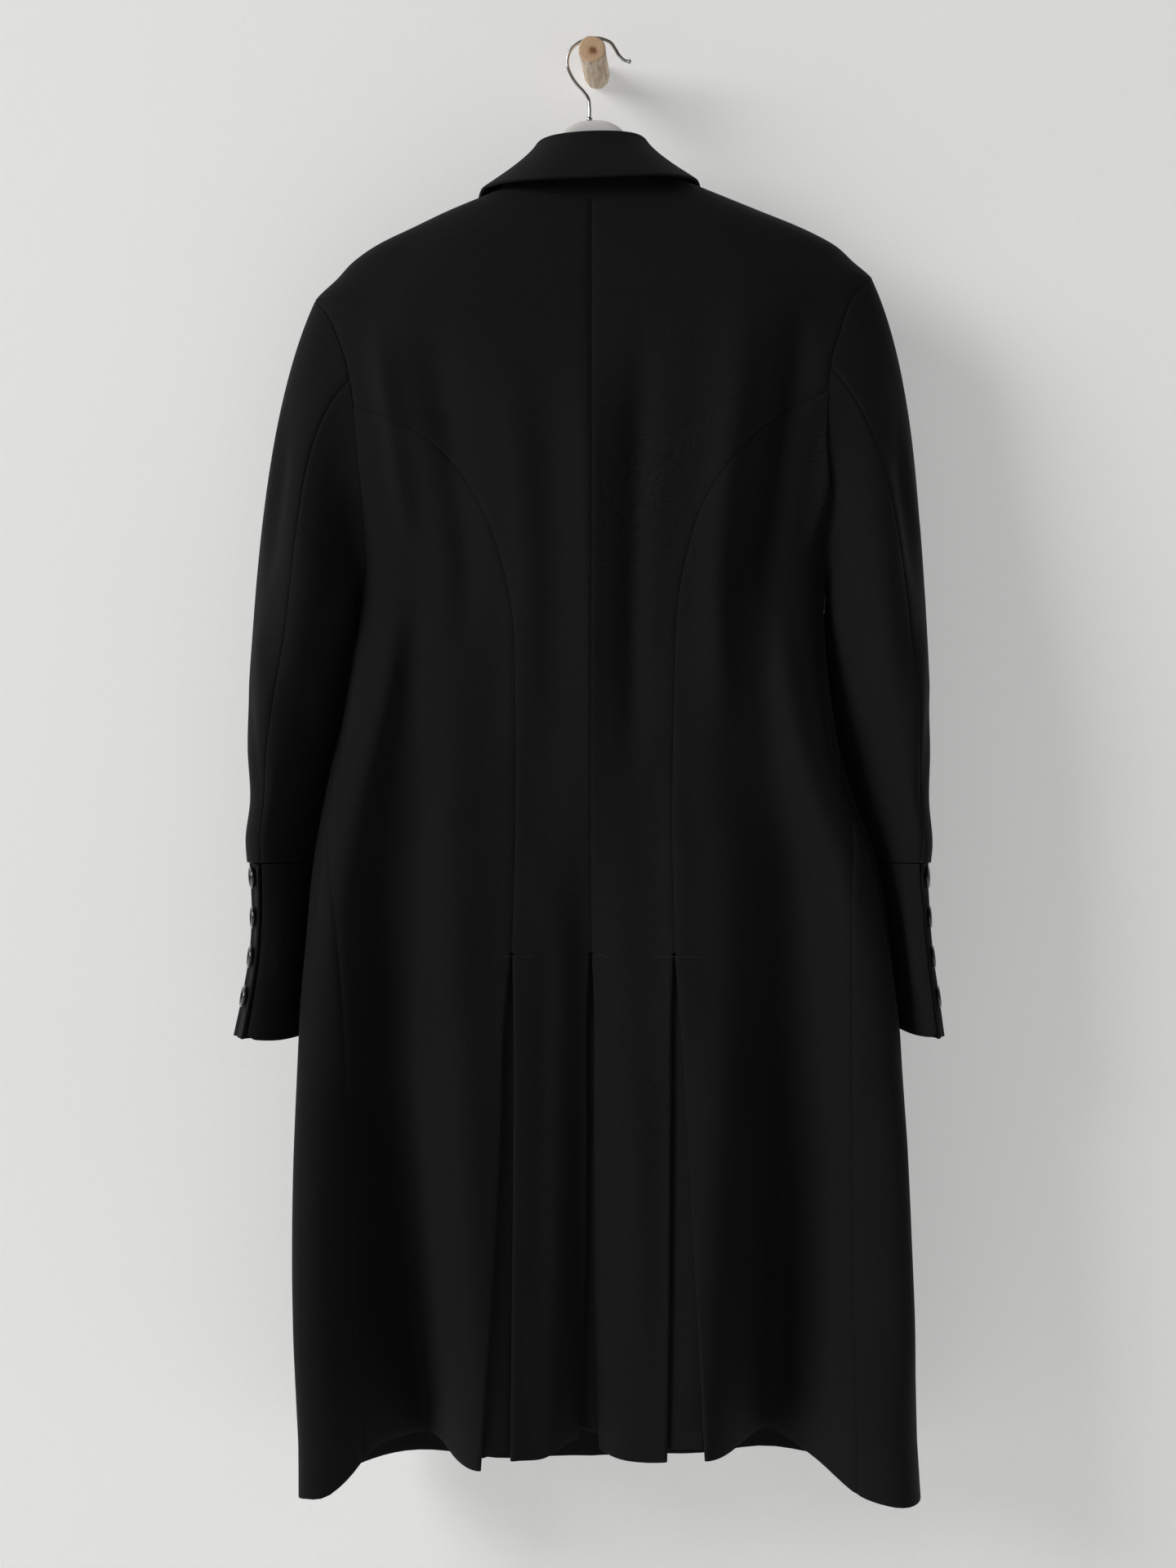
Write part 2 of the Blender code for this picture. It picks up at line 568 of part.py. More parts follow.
def skirt(left_angles, right_angles, columns_at_top):
    """Angles and drops of a skirt panel between two edges that are known at every drop"""
    shares = np.linspace(0, 1, SKIRT_STEPS + 1)
    spread = (columns_at_top - columns_at_top[0]) / (columns_at_top[-1] - columns_at_top[0])
    angles = np.zeros((len(shares), len(spread)))
    drops = np.zeros_like(angles)
    for row, share in enumerate(shares):
        level = np.full(len(spread), PLEAT_TOP + (1.21 - PLEAT_TOP) * share)
        for _ in range(6):
            edges = left_angles(level[0]), right_angles(level[-1])
            across = edges[0] + (edges[1] - edges[0]) * spread
            level = PLEAT_TOP + (hem_drop(across) - PLEAT_TOP) * share
        angles[row], drops[row] = across, level
    return angles, drops


def armpit_level(side):
    return ARMHOLE[side]["drop"][-1]


def upper_side_drops(side):
    """Drops down the side seam above the pleats"""
    return armpit_level(side) + (PLEAT_TOP - armpit_level(side)) * SIDE_STOPS


def build_back(side, cloth, collection, edges):
    """The back, from the centre back seam to the princess seam, down to the hem"""
    arm_stops = armhole_stops(ARM_TOP_STEPS, ARM_BACK_STEPS)[:ARM_TOP_STEPS + 2]
    slope = shoulder(side, np.linspace(0, 1, SHOULDER_STEPS + 1))
    arm = armhole(side, arm_stops)
    seam = princess(side, PRINCESS_STOPS)
    outside = tuple(np.concatenate([slope[k], arm[k][1:], seam[k][1:]]) for k in (0, 1))
    shares = (outside[1] - outside[1][0]) / (outside[1][-1] - outside[1][0])
    centre = np.zeros(len(shares)), NECK_BACK + (PLEAT_TOP - NECK_BACK) * shares
    top = tuple(line[::-1] for line in back_neck(side, np.linspace(0, 1, BACK_NECK_STEPS + 1)))
    widths = np.linspace(0, 1, BACK_NECK_STEPS + 1)
    bottom = seam[0][-1] * (1 - widths), np.full(len(widths), PLEAT_TOP)
    angles, drops = patch(top, bottom, outside, centre, NECK_FADE)

    outer_edge = "second" if side == "left" else "first"
    inner_edge = "first" if side == "left" else "second"

    def outside_edge(drop):
        return float(pleat_edge_angle(side, outer_edge, drop))

    def centre_edge(drop):
        return float(pleat_edge_angle("middle", inner_edge, drop))

    low_angles, low_drops = skirt(outside_edge, centre_edge, bottom[0])
    top_row = len(angles) - 1
    angles = np.concatenate([angles[:-1], low_angles])
    drops = np.concatenate([drops[:-1], low_drops])
    set_in = np.where(np.arange(len(angles)) < top_row, HALF_GAP, 0)
    borders = {"left": set_in, "right": set_in, "top": HALF_GAP}
    shared = shared_neck_and_arm(side, "back")
    outer, inner, normals = body_panel(angles, drops, borders, shared)
    columns = angles.shape[1]
    cells = np.ones((len(angles) - 1, columns - 1), bool)
    outside_opening = read(PLEATS[side], f"{outer_edge}_open", drops[:, 0])
    centre_opening = read(PLEATS["middle"], f"{inner_edge}_open", drops[:, -1])
    outer2, inner2, added, behind = add_return(outer, inner, normals, top_row, "left",
                                               outside_opening)
    edges[(side, outer_edge)] = behind
    cells = np.concatenate([added, cells], axis=1)
    outer3, inner3, added, behind = add_return(outer, inner, normals, top_row, "right",
                                               centre_opening)
    edges[("middle", inner_edge)] = behind
    outer = np.concatenate([outer2, outer3[:, columns:]], axis=1)
    inner = np.concatenate([inner2, inner3[:, columns:]], axis=1)
    cells = np.concatenate([cells, added], axis=1)
    wall(f"back_{side}", outer, inner, cells, cloth, collection)


def build_side_back(side, cloth, collection, edges):
    """The side back, from the princess seam to the side seam, down to the hem"""
    stops = armhole_stops(ARM_TOP_STEPS, ARM_BACK_STEPS)[ARM_TOP_STEPS + 1:]
    arm = armhole(side, stops)
    seam = princess(side, PRINCESS_STOPS)
    side_line = side_seam(side, upper_side_drops(side))
    top = arm[0][::-1], arm[1][::-1]
    ends = side_line[0][-1], seam[0][-1]
    bottom_angles = ends[0] + (ends[1] - ends[0]) * np.linspace(0, 1, ARM_BACK_STEPS + 1)
    bottom = bottom_angles, np.full(len(bottom_angles), PLEAT_TOP)
    angles, drops = patch(top, bottom, side_line, seam)
    edge = "first" if side == "left" else "second"

    def seam_edge(drop):
        return float(side_seam(side, drop)[0])

    def pleat_edge(drop):
        return float(pleat_edge_angle(side, edge, drop))

    low_angles, low_drops = skirt(seam_edge, pleat_edge, bottom_angles)
    top_row = len(angles) - 1
    angles = np.concatenate([angles[:-1], low_angles])
    drops = np.concatenate([drops[:-1], low_drops])
    set_in = np.where(np.arange(len(angles)) < top_row, HALF_GAP, 0)
    borders = {"left": HALF_GAP, "right": set_in, "top": HALF_GAP}
    shared = shared_neck_and_arm(side, "side back")
    outer, inner, normals = body_panel(angles, drops, borders, shared)
    opening = read(PLEATS[side], f"{edge}_open", drops[:, -1])
    outer, inner, added, behind = add_return(outer, inner, normals, top_row, "right", opening)
    edges[(side, edge)] = behind
    cells = np.ones((len(angles) - 1, angles.shape[1] - 1), bool)
    cells = np.concatenate([cells, added], axis=1)
    wall(f"side_back_{side}", outer, inner, cells, cloth, collection)


def front_angles(side, angles):
    """Carries a left angle on past the centre front, so that a front's angles run one way"""
    angles = np.asarray(angles)
    return np.where(angles < 0, angles + 360, angles) if side == "left" else angles


def lap_angle(drop):
    """The angle that the front's lap covers past the centre front"""
    reach = FRONT_LAP / (half_width(1.0, drop) * (1 + SQUARE_ACROSS))
    return np.degrees(np.arcsin(reach))


def under_lap(angles):
    """How far the left front lies under the right one, near the centre front"""
    return -ease((LAP_STARTS - angles) / LAP_EASES) * LAP_DEPTH


def build_front(side, cloth, collection):
    """One front: from the side seam round to the centre front and its lap"""
    sign = 1 if side == "right" else -1
    arm = armhole(side, front_arm_stops(), front=True)
    slope = shoulder(side, np.linspace(0, 1, SHOULDER_STEPS + 1))
    outside = tuple(np.concatenate([slope[k], arm[k][1:]]) for k in (0, 1))
    outside = front_angles(side, outside[0]), outside[1]
    neck = front_neck(side, front_neck_stops())
    top = (np.append(front_angles(side, neck[0]), 180 + sign * lap_angle(NECK_FRONT)),
           np.append(neck[1], NECK_FRONT))
    pit = armpit_level(side)
    columns = len(top[0])
    shoulder_end = slope[1][-1]
    edge_drop = np.interp(outside[1], (slope[1][0], shoulder_end, pit),
                          (NECK_FRONT, shoulder_end + 0.008, pit))
    edge = 180 + sign * lap_angle(edge_drop), edge_drop
    bottom_angles = front_row(side, 90 if side == "right" else 270, pit, columns)
    angles, drops = patch(top, (bottom_angles, np.full(columns, pit)), outside, edge, NECK_FADE)

    low_angles, low_drops = front_skirt(side, bottom_angles)
    angles = np.concatenate([angles[:-1], low_angles])
    drops = np.concatenate([drops[:-1], low_drops])
    borders = {"left": HALF_GAP, "top": np.where(np.arange(columns) <= FRONT_NECK_STEPS, HALF_GAP, 0)}
    lift = under_lap(angles) if side == "left" else None
    outer, inner, _ = body_panel(angles, drops, borders, shared_neck_and_arm(side, "front"), lift)
    cells = np.ones((len(angles) - 1, columns - 1), bool)
    wall(f"front_{side}", outer, inner, cells, cloth, collection)


def front_row(side, start, drop, columns):
    """Angles along a front from a start to its edge, with columns at both sides of the centre"""
    sign = 1 if side == "right" else -1
    lap = float(lap_angle(drop))
    main = start + (180 - sign * lap - start) * np.linspace(0, 1, columns - 2) ** FRONT_CROWD
    return np.append(main, (180, 180 + sign * lap))


def front_skirt(side, top_angles):
    """Angles and drops of a front below the armpit"""
    sign = 1 if side == "right" else -1
    columns = len(top_angles)
    pit = armpit_level(side)
    upper = upper_side_drops(side)
    hem = 1.24
    for _ in range(6):
        hem = float(hem_drop(sign * float(read(SIDE_SEAM, side, hem))))
    lower = PLEAT_TOP + (hem - PLEAT_TOP) * np.linspace(0, 1, SKIRT_STEPS + 1)[1:]
    seam_drops = np.concatenate([upper, lower])
    shares = (seam_drops - pit) / (hem - pit)
    angles = np.zeros((len(shares), columns))
    drops = np.zeros_like(angles)
    for row, share in enumerate(shares):
        first = sign * float(read(SIDE_SEAM, side, seam_drops[row]))
        first = first + 360 if side == "left" else first
        across = front_row(side, first, pit + (1.243 - pit) * share, columns)
        level = pit + (hem_drop(across) - pit) * share
        level[0] = seam_drops[row]
        angles[row], drops[row] = across, level
    return angles, drops


def front_arm_stops():
    """Places down the front armhole, from the shoulder to the sleeve's front seam and the armpit"""
    seam = 0.62
    return np.concatenate([seam * np.linspace(0, 1, ARM_FRONT_HIGH_STEPS + 1) ** ARM_CROWD,
                           np.linspace(seam, 1, ARM_FRONT_LOW_STEPS + 1)[1:]])


# The sleeves

def sleeve_ring(side, turn, drop, inset=0.0):
    """A sleeve's cross section: turn 0 on its outer side, 180 inside, with its back leaning out"""
    sizes = SLEEVE[side]
    inner, outer = read(sizes, "inner", drop), read(sizes, "outer", drop)
    back, front = read(sizes, "back", drop), read(sizes, "front", drop)
    lean = np.radians(read(SLEEVE_LEAN, "turn", drop))
    turn = np.radians(turn)
    x = (inner + outer) / 2 + ((outer - inner) / 2 - inset) * np.cos(turn)
    y = (back + front) / 2 + ((back - front) / 2 + inset) * np.sin(turn + lean)
    x, y, drop = np.broadcast_arrays(sign_of(side) * x, y, np.asarray(drop, float))
    return np.stack([x, y, -drop], axis=-1)


def sleeve_turn(side, share, reach):
    """The ring angle at a share of the way round: 0 and 1 at the seams, for upper and under sleeve"""
    elbow = read(ELBOW_SEAM[side], "turn", reach)
    front = FRONT_SEAM_TURN + 0 * reach
    upper = front + (elbow - front) * share
    under = elbow + (front + 360 - elbow) * (share - 1)
    return np.where(share <= 1, upper, under)


def sleeve_surface(side, roots, shares, reaches):
    """A sleeve's outer face: roots on the armhole, shares round it and reaches down it"""
    grid = np.zeros((len(reaches), len(shares), 3))
    slope = np.radians(read(LEAVE_SLOPE, "slope",
                            (sleeve_turn(side, shares, 0.0) + 180) % 360 - 180))
    leave = np.stack([sign_of(side) * np.cos(slope), 0 * slope, -np.sin(slope)], axis=-1)
    span = CUFF_TOP - SLEEVE_RING

    def lower(reach):
        drop = SLEEVE_RING + span * (reach - ARMHOLE_SHARE) / (1 - ARMHOLE_SHARE)
        return sleeve_ring(side, sleeve_turn(side, shares, reach), drop)

    joint = lower(ARMHOLE_SHARE)
    arrive = unit(lower(ARMHOLE_SHARE + 0.02) - joint)
    length = np.linalg.norm(joint - roots, axis=-1, keepdims=True)
    for row, reach in enumerate(reaches):
        if reach >= ARMHOLE_SHARE:
            grid[row] = lower(reach)
            continue
        t = reach / ARMHOLE_SHARE
        grid[row] = ((1 + 2 * t) * (1 - t) ** 2 * roots + t * (1 - t) ** 2 * SLEEVE_PULL * length * leave
                     + t * t * (3 - 2 * t) * joint + t * t * (t - 1) * length * arrive)
    return grid


def grid_normals(grid, outward):
    """Directions out of a grid of points, on the side that faces a given way"""
    across = np.gradient(grid, axis=1)
    down = np.gradient(grid, axis=0)
    normals = unit(np.cross(down, across))
    return normals * np.sign(np.sum(normals * outward))


def armhole_line(side):
    """The whole armhole: angles, drops and shares round the sleeve, from its front seam on"""
    back = armhole_stops(ARM_TOP_STEPS, ARM_BACK_STEPS)
    front = front_arm_stops()
    back_line, front_line = armhole(side, back), armhole(side, front, front=True)
    high = slice(ARM_FRONT_HIGH_STEPS, 0, -1)
    low = slice(None, ARM_FRONT_HIGH_STEPS - 1, -1)
    upper = [np.concatenate([front_line[k][high], back_line[k][:ARM_TOP_STEPS + 1]]) for k in (0, 1)]
    under = [np.concatenate([back_line[k][ARM_TOP_STEPS:], front_line[k][low][1:]]) for k in (0, 1)]
    upper[0][ARM_FRONT_HIGH_STEPS] = sign_of(side) * 90
    return upper, under


def sleeve_pieces(side):
    """Grids of the upper and the under sleeve, with their directions outwards"""
    reaches = np.concatenate([np.linspace(0, ARMHOLE_SHARE, SLEEVE_HEAD_STEPS + 1),
                              np.linspace(ARMHOLE_SHARE, 1, SLEEVE_LOW_STEPS + 1)[1:]])
    pieces = {}
    for name, line, base in zip(("upper", "under"), armhole_line(side), (0.0, 1.0)):
        roots = body_point(line[0], line[1])
        shares = base + np.linspace(0, 1, len(line[0]))
        grid = sleeve_surface(side, roots, shares, reaches)
        normals = sleeve_normals(side, grid)
        pieces[name] = (grid, normals, line)
    for row in range(len(reaches)):
        for first, second in ((("upper", -1), ("under", 0)), (("upper", 0), ("under", -1))):
            both = unit(pieces[first[0]][1][row, first[1]] + pieces[second[0]][1][row, second[1]])
            pieces[first[0]][1][row, first[1]] = both
            pieces[second[0]][1][row, second[1]] = both
    return pieces


def sleeve_normals(side, grid):
    """Directions out of a sleeve, away from the line through the middle of its rings"""
    drop = np.clip(-grid[..., 2], SLEEVE_RING, CUFF_TOP)
    sizes = SLEEVE[side]
    x = sign_of(side) * (read(sizes, "inner", drop) + read(sizes, "outer", drop)) / 2
    y = (read(sizes, "back", drop) + read(sizes, "front", drop)) / 2
    z = np.minimum(grid[..., 2], -0.36)
    return grid_normals(grid, grid - np.stack([x, y, z], axis=-1))


def arm_directions(side):
    """The edge direction that body and sleeve share at each point of the armhole"""
    shared = {}
    for name, (_, normals, line) in sleeve_pieces(side).items():
        body = body_normal(line[0], line[1])
        shared[name] = seam_normals(body, normals[0])
    joins = unit(shared["upper"][-1] + shared["under"][0]) * np.linalg.norm(shared["upper"][-1])
    shared["upper"][-1] = shared["under"][0] = joins
    joins = unit(shared["upper"][0] + shared["under"][-1]) * np.linalg.norm(shared["upper"][0])
    shared["upper"][0] = shared["under"][-1] = joins
    return shared


def shared_neck_and_arm(side, panel):
    """Edge directions where a panel of the body meets the sleeve or the collar's stand"""
    arm = arm_directions(side)
    neck_back, neck_front = neck_directions(side)
    high, low = ARM_FRONT_HIGH_STEPS, ARM_FRONT_LOW_STEPS
    shared = {}
    if panel == "back":
        downs = np.concatenate([arm["upper"][high:], arm["under"][1:2]])
        for row, direction in enumerate(downs):
            shared[(SHOULDER_STEPS + row, 0)] = direction
        for step, direction in enumerate(neck_back[::-1]):
            shared[(0, step)] = direction
    if panel == "side back":
        for step in range(ARM_BACK_STEPS + 1):
            shared[(0, step)] = arm["under"][1 + ARM_BACK_STEPS - step]
    if panel == "front":
        downs = np.concatenate([arm["upper"][:high + 1][::-1], arm["under"][::-1][1:low + 1]])
        for row, direction in enumerate(downs):
            shared[(SHOULDER_STEPS + row, 0)] = direction
        for step, direction in enumerate(neck_front):
            shared[(0, step)] = direction
    return shared


def build_sleeve(side, cloth, collection):
    """The upper and the under sleeve"""
    directions = arm_directions(side)
    for name, (grid, normals, _) in sleeve_pieces(side).items():
        moved = np.zeros_like(grid)
        for border, index in (("left", (slice(None), 0)), ("right", (slice(None), -1)),
                              ("top", (0, slice(None))), ("bottom", (-1, slice(None)))):
            moved[index] += set_back(grid, normals, border, HALF_GAP)
        outer = grid + moved
        depth = normals.copy()
        depth[0] = directions[name]
        cells = np.ones((grid.shape[0] - 1, grid.shape[1] - 1), bool)
        wall(f"{name}_sleeve_{side}", outer, outer - depth * CLOTH, cells, cloth, collection)


def cuff_turns():
    """Angles round a cuff: from its open edge past the back, inside and front to the button edge"""
    return np.linspace(CUFF_EDGE_TURN, 360 + CUFF_EDGE_TURN + CUFF_UNDERLAP, CUFF_STEPS + 1)


def cuff_point(side, turn, drop):
    """The outer face of a cuff, whose button edge dips under the open edge"""
    inset = CUFF_INSET * ease((turn - CUFF_DIP_STARTS) / CUFF_DIP_EASES)
    return sleeve_ring(side, turn, drop, inset)


def cuff_normal(side, turn, drop):
    across = cuff_point(side, turn + 1, drop) - cuff_point(side, turn - 1, drop)
    down = cuff_point(side, turn, drop + 0.002) - cuff_point(side, turn, drop - 0.002)
    return unit(np.cross(across, down)) * sign_of(side)


def build_cuff(side, cloth, collection):
    """A deep cuff, open at the back of its outer side"""
    turns, shares = np.meshgrid(cuff_turns(), np.linspace(0, 1, 5))
    level, lean = CUFF_BOTTOM[side]
    bottom = level + lean * np.cos(np.radians(turns))
    drops = CUFF_TOP + HALF_GAP + (bottom - CUFF_TOP - HALF_GAP) * shares
    outer = cuff_point(side, turns, drops)
    inner = outer - cuff_normal(side, turns, drops) * CLOTH
    cells = np.ones((drops.shape[0] - 1, drops.shape[1] - 1), bool)
    wall(f"cuff_{side}", outer, inner, cells, cloth, collection)


# The collar

def roll_line(turn):
    """The line over which the collar folds: turn 0 at the centre back, 180 at the centre front"""
    angle = np.radians(turn)
    x = ROLL_HALF_WIDTH * np.sin(angle)
    y = (ROLL_BACK + ROLL_FRONT) / 2 + (ROLL_BACK - ROLL_FRONT) / 2 * np.cos(angle)
    drop = ROLL_DROP + (ROLL_FRONT_DROP - ROLL_DROP) * ((1 - np.cos(angle)) / 2) ** 3.2
    return np.stack([MIDDLE + x, y, -drop + TILT * x], axis=-1)


def fall_edge(turn):
    """The outer edge of the collar's fall"""
    sign = np.where(np.asarray(turn) < 0, -1, 1)
    around = np.abs(turn)
    x = sign * read(FALL_EDGE, "out", around)
    return np.stack([FALL_MIDDLE + x, read(FALL_EDGE, "y", around),
                     -read(FALL_EDGE, "drop", around) + TILT * x], axis=-1)


def neck_turns():
    """Angles round the collar at each point of half the neckline"""
    front = 90 + (COLLAR_END - 90) * front_neck_stops()
    return np.concatenate([np.linspace(0, 90, BACK_NECK_STEPS + 1), front[1:]])


def neck_line(side):
    """Half of the neckline on the body's surface: points and directions out"""
    back = back_neck(side, np.linspace(0, 1, BACK_NECK_STEPS + 1))
    front = front_neck(side, front_neck_stops())
    angles = np.concatenate([back[0], front[0][1:]])
    drops = np.concatenate([back[1], front[1][1:]])
    normals = body_normal(angles, drops)
    points = body_point(angles, drops)
    if side == "left":
        lift = np.where(np.abs(angles) > 90, under_lap(front_angles(side, angles)), 0)
        points = points + normals * lift[:, None]
    return points, normals


def stand_half(side):
    """Half of the collar's stand, from the centre back to the centre front"""
    points, body = neck_line(side)
    tops = roll_line(sign_of(side) * neck_turns())
    rows = np.linspace(0, 1, 4)[:, None, None]
    lean = unit(tops - points)
    around = line_steps(tops)
    bulge = unit(np.cross(around, lean)) * sign_of(side)
    grid = points + (tops - points) * rows + bulge * STAND_BULGE * np.sin(np.pi * rows)
    middle = np.array([MIDDLE, -0.08, -0.12])
    normals = grid_normals(grid, (grid - middle) * np.array([1, 1, 0.0]))
    return grid, normals, body


def neck_directions(side):
    """The edge directions that the body and the stand share, at the back and at the front"""
    _, normals, body = stand_half(side)
    shared = seam_normals(body, normals[0])
    return shared[:BACK_NECK_STEPS + 1], shared[BACK_NECK_STEPS:]


def build_collar(cloth, collection):
    """The stand, sewn to the neckline, and the fall that turns down over it"""
    halves = {side: stand_half(side) for side in ("left", "right")}
    grid = np.concatenate([halves["left"][0][:, ::-1], halves["right"][0][:, 1:]], axis=1)
    normals = np.concatenate([halves["left"][1][:, ::-1], halves["right"][1][:, 1:]], axis=1)
    shared = np.concatenate([seam_normals(halves[side][2], halves[side][1][0])[::step][start:]
                             for side, step, start in (("left", -1, 0), ("right", 1, 1))])
    centre = len(halves["left"][0][0]) - 1
    normals[:, centre] = unit(normals[:, centre - 1] + normals[:, centre + 1])
    moved = np.zeros_like(grid)
    moved[0] = set_back(grid, normals, "top", HALF_GAP)
    moved[:, 0] += set_back(grid, normals, "left", STAND_END)
    moved[:, -1] += set_back(grid, normals, "right", STAND_END)
    outer = grid + moved
    depth = normals.copy()
    depth[0] = shared
    cells = np.ones((grid.shape[0] - 1, grid.shape[1] - 1), bool)
    wall("collar_stand", outer, outer - depth * CLOTH, cells, cloth, collection)

    half = neck_turns()
    turns = np.concatenate([-half[::-1], half[1:]])
    outer, inner = fall_grids(turns)
    cells = np.ones((outer.shape[0] - 1, outer.shape[1] - 1), bool)
    wall("collar_fall", outer, inner, cells, cloth, collection)


def fall_grids(turns):
    """The fall's two faces: up from the stand, over the roll and down to its edge"""
    line = roll_line(turns)
    ahead = roll_line(turns + 1) - roll_line(turns - 1)
    out = unit(np.stack([ahead[:, 1], -ahead[:, 0], 0 * turns], axis=-1))
    up = np.array([0, 0, 1.0])
    base = line - out * (CLOTH / 2) + up * (SEAM_GAP + 0.0002)
    centre = base + out * ROLL_RADIUS
    middles = [centre + (-out * math.cos(turn) + up * math.sin(turn)) * ROLL_RADIUS
               for turn in np.radians(ROLL_TURNS)]
    edge = fall_edge(turns)
    start = middles[-1]
    last = math.radians(ROLL_TURNS[-1])
    leave = unit(out * math.sin(last) + up * math.cos(last))
    length = np.linalg.norm(edge - start, axis=-1, keepdims=True)
    arrive = unit(edge - start + out * 0.004)
    for t in (0.25, 0.5, 0.75, 1.0):
        pull = FALL_PULL * length
        middles.append((1 + 2 * t) * (1 - t) ** 2 * start + t * (1 - t) ** 2 * pull * leave
                       + t * t * (3 - 2 * t) * edge + t * t * (t - 1) * pull * arrive
                       + out * FALL_BULGE * math.sin(math.pi * t))
    grid = np.stack(middles)
    away = np.broadcast_to(out, grid.shape).copy()
    away[0] = -out
    away[1] = -out + up
    away[2] = up
    normals = grid_normals(grid, away)
    normals[0] = -out
    return grid + normals * CLOTH / 2, grid - normals * CLOTH / 2


# The pleats' underlays

def build_underlay(name, edges, cloth, collection):
    """The cloth at the bottom of an inverted pleat, between the ends of its two returns"""
    both = np.concatenate([edges[(name, "first")][:, :, ::-1], edges[(name, "second")]], axis=2)
    row = np.arange(both.shape[1]) * (1 - UNDERLAY_SHORT / (1.21 - PLEAT_TOP))
    low = np.minimum(row.astype(int), both.shape[1] - 2)
    share = (row - low)[:, None, None]
    middle, out = both[:, low] * (1 - share) + both[:, low + 1] * share
    middle = np.concatenate([middle[:1] + (0, 0, UNDERLAY_ABOVE), middle])
    out = np.concatenate([out[:1], out])
    outer, inner = middle + out * CLOTH / 2, middle - out * CLOTH / 2
    cells = np.ones((middle.shape[0] - 1, middle.shape[1] - 1), bool)
    wall(f"pleat_underlay_{name}", outer, inner, cells, cloth, collection)


# Buttons, hanger, hook and peg

def button(name, place, facing, diameter, material, collection):
    """A flat sew-through button with a rounded rim"""
    thickness = diameter * BUTTON_THICKNESS
    mesh = bmesh.new()
    bmesh.ops.create_cone(mesh, cap_ends=True, segments=14, radius1=diameter / 2, radius2=diameter / 2,
                          depth=thickness)
    rims = [edge for edge in mesh.edges if abs(edge.verts[0].co.z - edge.verts[1].co.z) < 1e-6]
    bmesh.ops.bevel(mesh, geom=rims, offset=thickness * 0.3, segments=1, affect="EDGES")
    turn = Vector(facing).to_track_quat("Z", "Y").to_matrix().to_4x4()
    seat = Vector(place) + Vector(facing) * (BUTTON_GAP + thickness / 2)
    bmesh.ops.transform(mesh, matrix=Matrix.Translation(seat) @ turn, verts=mesh.verts)
    bmesh.ops.triangulate(mesh, faces=mesh.faces)
    return finish(name, mesh, material, collection)


def build_buttons(material, collection):
    """Four buttons on each cuff and a row down the front"""
    for side in ("left", "right"):
        for count in range(4):
            drop = CUFF_TOP + CUFF_BUTTON_FIRST + CUFF_BUTTON_SPACING * count
            place = cuff_point(side, CUFF_BUTTON_TURN, drop)
            facing = cuff_normal(side, CUFF_BUTTON_TURN, drop)
            rim = cuff_point(side, CUFF_BUTTON_TURN + np.array((0, 0, -1, 1)) * BUTTON_RIM_TURN,
                             drop + np.array((-0.5, 0.5, 0, 0)) * CUFF_BUTTON)
            place = place + facing * max(0, np.max((rim - place) @ facing))
            button(f"cuff_button_{side}_{count + 1}", place, facing, CUFF_BUTTON, material, collection)
    for count, drop in enumerate(FRONT_BUTTON_DROPS):
        place, facing = body_point(180.0, drop), body_normal(180.0, drop)
        button(f"front_button_{count + 1}", place, facing, FRONT_BUTTON, material, collection)


def loft(name, rings, material, collection):
    """A closed solid through rings of points"""
    mesh = bmesh.new()
    loops = [[mesh.verts.new(point) for point in ring] for ring in rings]
    for first, second in zip(loops, loops[1:]):
        for count in range(len(first)):
            after = (count + 1) % len(first)
            mesh.faces.new((first[count], first[after], second[after], second[count]))
    mesh.faces.new(loops[0][::-1])
    mesh.faces.new(loops[-1])
    if mesh.calc_volume(signed=True) < 0:
        bmesh.ops.reverse_faces(mesh, faces=mesh.faces)
    bmesh.ops.triangulate(mesh, faces=mesh.faces)
    return finish(name, mesh, material, collection)


def hanger_place(out):
    """The middle of the hanger's section at a distance along one arm, right or left"""
    around = np.abs(out)
    free = read(HANGER, "drop", around) - TILT * out
    drops = np.linspace(BODY["drop"][0], ARMHOLE["right"]["drop"][0], 60)
    left, right = (np.interp(around, half_width(sign, drops), drops) for sign in (-1, 1))
    under = np.where(out < 0, left, right) + CLOTH * 1.3 + HANGER_GAP
    rest = ease((around - HANGER_REST[0]) / (HANGER_REST[1] - HANGER_REST[0]))
    top = free + (under - free) * rest
    slope = np.gradient(top, out)
    y = HANGER_DEPTH - 0.006 * ease(around / 0.15)
    drop = top + read(HANGER, "high", around) * np.hypot(1, slope)
    return np.stack([MIDDLE + out, y, -drop], axis=-1)


